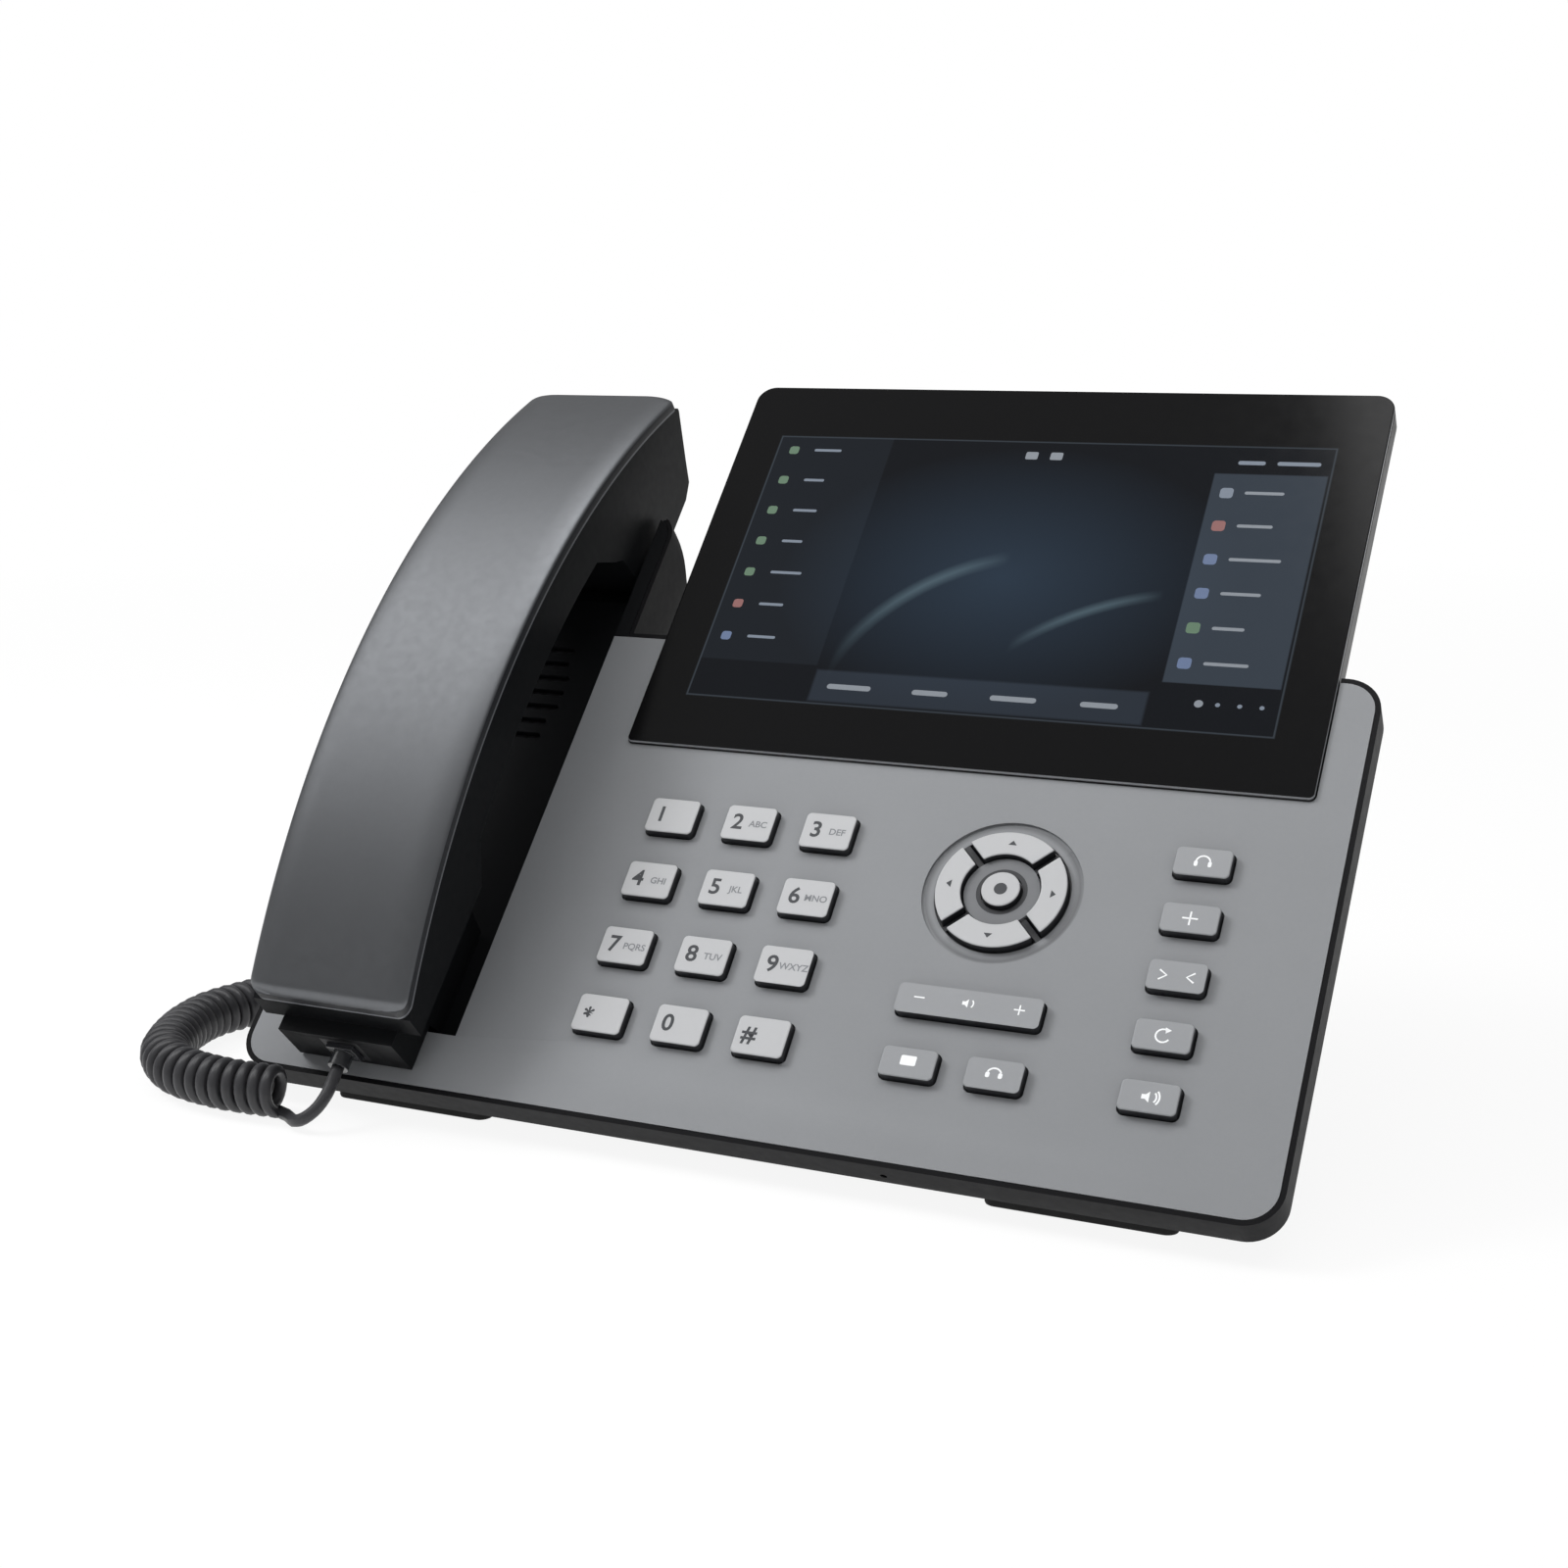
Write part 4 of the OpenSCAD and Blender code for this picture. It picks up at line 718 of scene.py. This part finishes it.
# ---- Navigation ring and middle key -------------------------------------------------------
# Four white quarters stand round a fixed grey ring in a shallow dish, with a round white key in
# the middle. Each quarter carries a small printed arrow.
NAV_X, NAV_Y = 53.6, 73.4
ARROW_OUT = 12.7
ARROW = [(0.75, 0.0), (-0.5, 1.05), (-0.5, -1.05)]
for node, turn in (("nav_right", 0), ("nav_up", 90), ("nav_left", 180), ("nav_down", 270)):
    softened(node, node + "_cap", cap_white, 0.45, 3)
    way = math.radians(turn)
    arrow = [(NAV_X + (ARROW_OUT + a) * math.cos(way) - b * math.sin(way),
              NAV_Y + (ARROW_OUT + a) * math.sin(way) + b * math.cos(way)) for a, b in ARROW]
    printed(node + "_arrow", [arrow], NAV_TOP + PRINT, node + "_body", "key_grey", ink_dark)
softened("ok_key", "ok_key_cap", cap_white, 0.6, 4)
printed("ok_key_mark", [disc(NAV_X, NAV_Y, 1.6, 24)], NAV_TOP + PRINT, "ok_key_body",
        "key_grey", ink_dark)


# ---- Function, pair and volume keys -------------------------------------------------------
# Grey caps with small white printed signs: five in a column, two side by side, and a rocking
# volume key on a cross pin above those two.
def stroke(points, wide=0.34):
    """A printed line through points, as one outline with square ends."""
    left, right = [], []
    for i, (x, y) in enumerate(points):
        a, b = points[max(i - 1, 0)], points[min(i + 1, len(points) - 1)]
        dx, dy = b[0] - a[0], b[1] - a[1]
        long = math.hypot(dx, dy)
        left.append((x - dy / long * wide / 2, y + dx / long * wide / 2))
        right.append((x + dy / long * wide / 2, y - dx / long * wide / 2))
    return right + left[::-1]


def horn(x, y, waves):
    """A small loudspeaker sign with some sound waves."""
    corners = (-1.3, -0.45), (-0.6, -0.45), (0.1, -1.1), (0.1, 1.1), (-0.6, 0.45), (-1.3, 0.45)
    cone_mark = [(x + a, y + b) for a, b in corners]
    return [cone_mark] + [stroke(bow(x, y, 0.8 + 0.55 * k, -42, 42)) for k in range(1, waves + 1)]


def signs(x, y):
    """The signs of the five function keys, from the top key down."""
    ears = [rounded(x + s * 1.3, y - 0.4, 0.7, 1.2, 0.3) for s in (-1, 1)]
    headset = [stroke(bow(x, y, 1.3, 0, 180))] + ears
    plus = [rounded(x, y, 2.9, 0.34, 0.1), rounded(x, y, 0.34, 2.9, 0.1)]
    inward = [stroke([(x + s * 3.2, y + 1), (x + s * 1.8, y), (x + s * 3.2, y - 1)])
              for s in (-1, 1)]
    again = [stroke(bow(x, y, 1.3, 60, 330)),
             [(x + 0.2, y + 1.7), (x + 1.4, y + 1.2), (x + 0.4, y + 0.5)]]
    return [headset, plus, inward, again, horn(x, y, 2)]


SIGN_GROWTH = 1.25


def grown(outlines, x, y):
    """Printed signs at the size that a key top has room for."""
    return [[(x + SIGN_GROWTH * (a - x), y + SIGN_GROWTH * (b - y)) for a, b in outline]
            for outline in outlines]


def grey_key(node):
    """A grey cap, rounded over."""
    softened(node, node + "_cap", cap_grey, 0.5, 4)


def white_sign(name, outlines, body):
    """White signs on a grey cap."""
    printed(name, outlines, KEY_TOP + PRINT, body, "key_white", ink_pale)


COLUMN_X, COLUMN_TOP, COLUMN_STEP = 99.2, 85.7, 15.13
for place in range(5):
    node = f"function_key_{place + 1}"
    x, y = COLUMN_X, COLUMN_TOP - place * COLUMN_STEP
    grey_key(node)
    white_sign(node + "_sign", grown(signs(x, y)[place], x, y), node + "_body")
LEFT_X, RIGHT_X, PAIR_Y = 43.7, 64.1, 25.7
left_sign = [rounded(LEFT_X, PAIR_Y, 3.0, 2.0, 0.3)]
EAR_Y = PAIR_Y - 0.5
right_sign = ([stroke(bow(RIGHT_X, EAR_Y, 1.4, 25, 155))]
              + [rounded(ear, EAR_Y, 0.8, 1.1, 0.3) for ear in (RIGHT_X - 1.2, RIGHT_X + 1.2)])
grey_key("left_key")
grey_key("right_key")
white_sign("left_key_sign", grown(left_sign, LEFT_X, PAIR_Y), "left_key_body")
white_sign("right_key_sign", grown(right_sign, RIGHT_X, PAIR_Y), "right_key_body")
VOLUME_Y = 42.0
minus_sign = [rounded(42.0, VOLUME_Y, 2.6, 0.36, 0.1)]
plus_sign = [rounded(66.0, VOLUME_Y, 2.6, 0.36, 0.1), rounded(66.0, VOLUME_Y, 0.36, 2.6, 0.1)]
grey_key("volume_key")
white_sign("volume_key_signs", minus_sign + plus_sign + horn(53.7, VOLUME_Y, 1), "volume")


# ---- Fascia -----------------------------------------------------------------------------
# The grey face plate is one thin ABS moulding with the key holes and the dish. It drops over the
# keys and its posts take the case screws from behind.
face_grey = moulded("fascia_grey", (134, 136, 139), 0.5, tone=0.03, Specular_IOR_Level=0.4)
plate_across, plate_up = face_axes(face_grey)
from_ring = {0: plate_across - NAV_X, 1: plate_up - NAV_Y}
ring_distance = face_grey.length(face_grey.add("ShaderNodeCombineXYZ", {}, from_ring))
DISH_RADIUS, DISH_SHADE = 18.5, 1.1
OK_HOLE, RING_OUTER, QUARTER_OUTER = 6.2, 9.35, 16.5
# Painted shade: a dark band at the dish's edge and a darker fixed ring, for the shade in the dish.
dish_edge_shade = (1.0 - (ring_distance - DISH_RADIUS).size() / DISH_SHADE).most(0.0) * 0.55
# Painted shade: the plate under the ring's quarters and the middle key is painted dark, so the gaps
# round them read as shade.
shade_under_quarters = (ring_distance > RING_OUTER) * (ring_distance < QUARTER_OUTER)
painted_gap_shade = shade_under_quarters.most(ring_distance < OK_HOLE)
fixed_ring_shade = (ring_distance < RING_OUTER) * 0.4
plain_grey = Signal(face_grey, face_grey.shader.inputs["Base Color"].links[0].from_socket)
shaded_grey = face_grey.mix(dish_edge_shade.most(fixed_ring_shade), plain_grey, srgb(70, 71, 74))
plate_colour = face_grey.mix(painted_gap_shade, shaded_grey, srgb(52, 53, 56))
face_grey.feed(face_grey.shader, {"Base Color": plate_colour})
softened("fascia_cover", "fascia_plate", face_grey, 0.35, 2)


# ---- Handset cradle -----------------------------------------------------------------------
# A black trough drops into the left of the case, with a flange round the upper end of the column.
# Its floor has the loudspeaker's slots and the hole for the hook plunger, and its deep end takes
# the ear cup.
cradle_black = moulded("cradle_black", (20, 21, 23), 0.52, Specular_IOR_Level=0.08)
softened("handset_cradle", "handset_cradle_trough", cradle_black, 0.4, 2)


# ---- Stand and feet -----------------------------------------------------------------------
# The hollow black stand hooks into the back of the case and has a window for the cables. Four
# black rubber feet are stuck under the front edge and under the stand.
softened("stand", "stand_moulding", body_black, 0.5, 2)
rubber = moulded("foot_rubber", (22, 22, 22), 0.78, 1500.0, 0.00005, 0.2)
softened("front_feet", "front_feet_pads", rubber, 0.5)
softened("stand_feet", "stand_feet_pads", rubber, 0.5)


# ---- Screws -------------------------------------------------------------------------------
# Zinc-plated thread-forming screws: six through the case from behind, four in the main board and
# two in the handset.
zinc = metal("screw_zinc", (138, 140, 145), (164, 166, 170), 1200.0, 900.0, 0.26, 0.2)
for screws in ("case_screws", "board_screws", "handset_screws"):
    softened(screws, screws + "_zinc", zinc, 0.2)


# ---- Sockets ------------------------------------------------------------------------------
# Black moulded housings soldered to the main board, open into the bay, and two more on the back of
# the column for the handset and a headset. The small port has a plated steel shell.
housing_black = moulded("socket_black", (32, 32, 34), 0.42)
for node in ("network_jacks", "handset_jack", "headset_jack", "power_jack", "handset_socket"):
    softened(node, node + "_housing", housing_black, 0.15)
plated = metal("socket_shell_steel", (156, 158, 162), (180, 182, 186), 800.0, 300.0, 0.24, 0.14)
softened("usb_port", "usb_port_shell", plated, 0.15)


# ---- Handset ------------------------------------------------------------------------------
# Two ABS shells meet along the handset's side: a satin dark grey back that the hand sees, and a
# black inner half with the ear and mouth cups. A steel weight in the grip gives it its heft.
HANDSET_X, HANDSET_Y, HANDSET_Z = -97.1, 111.9, 19.75
HANDSET_WIDE, HANDSET_LONG, HANDSET_BOW = 45.5, 204.4, 257.0
HANDSET_DROP = math.radians(2.4)
SHELL_DEEP = 4.5
CORNER = 3.6
CROWN = 2.0
SIDE_ROLL, END_ROLL = 7.5, 1.8
BAND = 3.9


def on_handset(x, y, sunk):
    """A point of the handset's bowed back, across it, along it, and sunk below its crown."""
    sag = HANDSET_BOW - math.sqrt(HANDSET_BOW ** 2 - (HANDSET_LONG / 2) ** 2)
    z = sag - HANDSET_BOW + math.sqrt((HANDSET_BOW - sunk) ** 2 - y ** 2)
    return face(HANDSET_X + x, HANDSET_Y + y * math.cos(HANDSET_DROP) + z * math.sin(HANDSET_DROP),
                HANDSET_Z - y * math.sin(HANDSET_DROP) + z * math.cos(HANDSET_DROP))


def eased(count):
    """Shares from -1 to 1, close together at both ends."""
    return [math.sin(math.pi / 2 * t) for t in np.linspace(-1, 1, count)]


def half_width(y):
    """Half the handset's width at a distance from its middle, less at its round corners."""
    past = max(0.0, abs(y) - (HANDSET_LONG / 2 - CORNER))
    return HANDSET_WIDE / 2 - (CORNER - math.sqrt(max(CORNER ** 2 - past ** 2, 0.0)))


def bowed_back(name, *finishes, rows=161, columns=49):
    """The outer half: a crowned back with rolled edges, straight sides and an open underside."""
    points, faces = [], []
    for v in eased(rows):
        y = v * HANDSET_LONG / 2
        half_wide = half_width(y)
        for u in eased(columns):
            x = u * half_wide
            roll = math.hypot(max(0.0, 1 - (half_wide - abs(x)) / SIDE_ROLL),
                              max(0.0, 1 - (HANDSET_LONG / 2 - abs(y)) / END_ROLL))
            drop = 1 - math.sqrt(max(1 - min(roll, 1.0) ** 2, 0.0))
            points.append(on_handset(x, y, CROWN * drop))
    for row in range(rows - 1):
        for column in range(columns - 1):
            low = row * columns + column
            faces.append((low, low + 1, low + columns + 1, low + columns))
    rim = ([row * columns for row in range(rows)]
           + [(rows - 1) * columns + k for k in range(1, columns)]
           + [row * columns + columns - 1 for row in range(rows - 2, -1, -1)]
           + list(range(columns - 2, 0, -1)))
    picks = [0] * len(faces)
    above = rim
    # The sides take painted shade down to the band, and a painted highlight from there to the seam.
    for pick, sunk in ((1, BAND), (2, SHELL_DEEP)):
        below = []
        for spot in rim:
            y = eased(rows)[spot // columns] * HANDSET_LONG / 2
            below.append(len(points))
            points.append(on_handset(eased(columns)[spot % columns] * half_width(y), y, sunk))
        for k in range(len(rim)):
            after = (k + 1) % len(rim)
            faces.append((above[k], above[after], below[after], below[k]))
            picks.append(pick)
        above = below
    made = piece(name, points, faces, *finishes)
    for side, pick in zip(made.data.polygons, picks):
        side.material_index = pick
    made.data.set_sharp_from_angle(angle=math.radians(50))
    return made


satin_dark = moulded("handset_satin_grey", (116, 118, 121), 0.46, 3200.0, 0.000012, 0.03,
                     Metallic=1.0)
# Painted shade: the shell's sides, down to the band's depth, are painted dark grey for the shade
# they stand in.
side_painted_shade = moulded("handset_side_painted_shade", (40, 41, 44), 0.42)
# Painted highlight: a pale band along the seam, for the light line that the seam's edge catches.
seam_painted_highlight = moulded("handset_seam_painted_highlight", (104, 106, 110), 0.4)
outer_half = bowed_back("handset_outer_half", satin_dark, side_painted_shade, seam_painted_highlight)
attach(outer_half, "handset")
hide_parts("handset_outer_shell")
inner_dark = moulded("handset_inner_black", (19, 20, 22), 0.48, Specular_IOR_Level=0.14)
softened("handset_inner_shell", "handset_inner_half", inner_dark, 0.7, 3)
finished("handset_weight", zinc)


# ---- Cord plugs ---------------------------------------------------------------------------
# Smoky polycarbonate plugs with a latch and a round rubber sleeve, crimped on the cord. They
# clip into the sockets of the handset and of the column.
plug_dark = moulded("plug_polycarbonate", (40, 41, 44), 0.22, tone=0.05, Coat_Weight=0.2)
handset_plug = softened("cord_plug_handset", "handset_plug", plug_dark, 0.35, 3)
base_plug = softened("cord_plug_base", "base_plug", plug_dark, 0.35, 3)
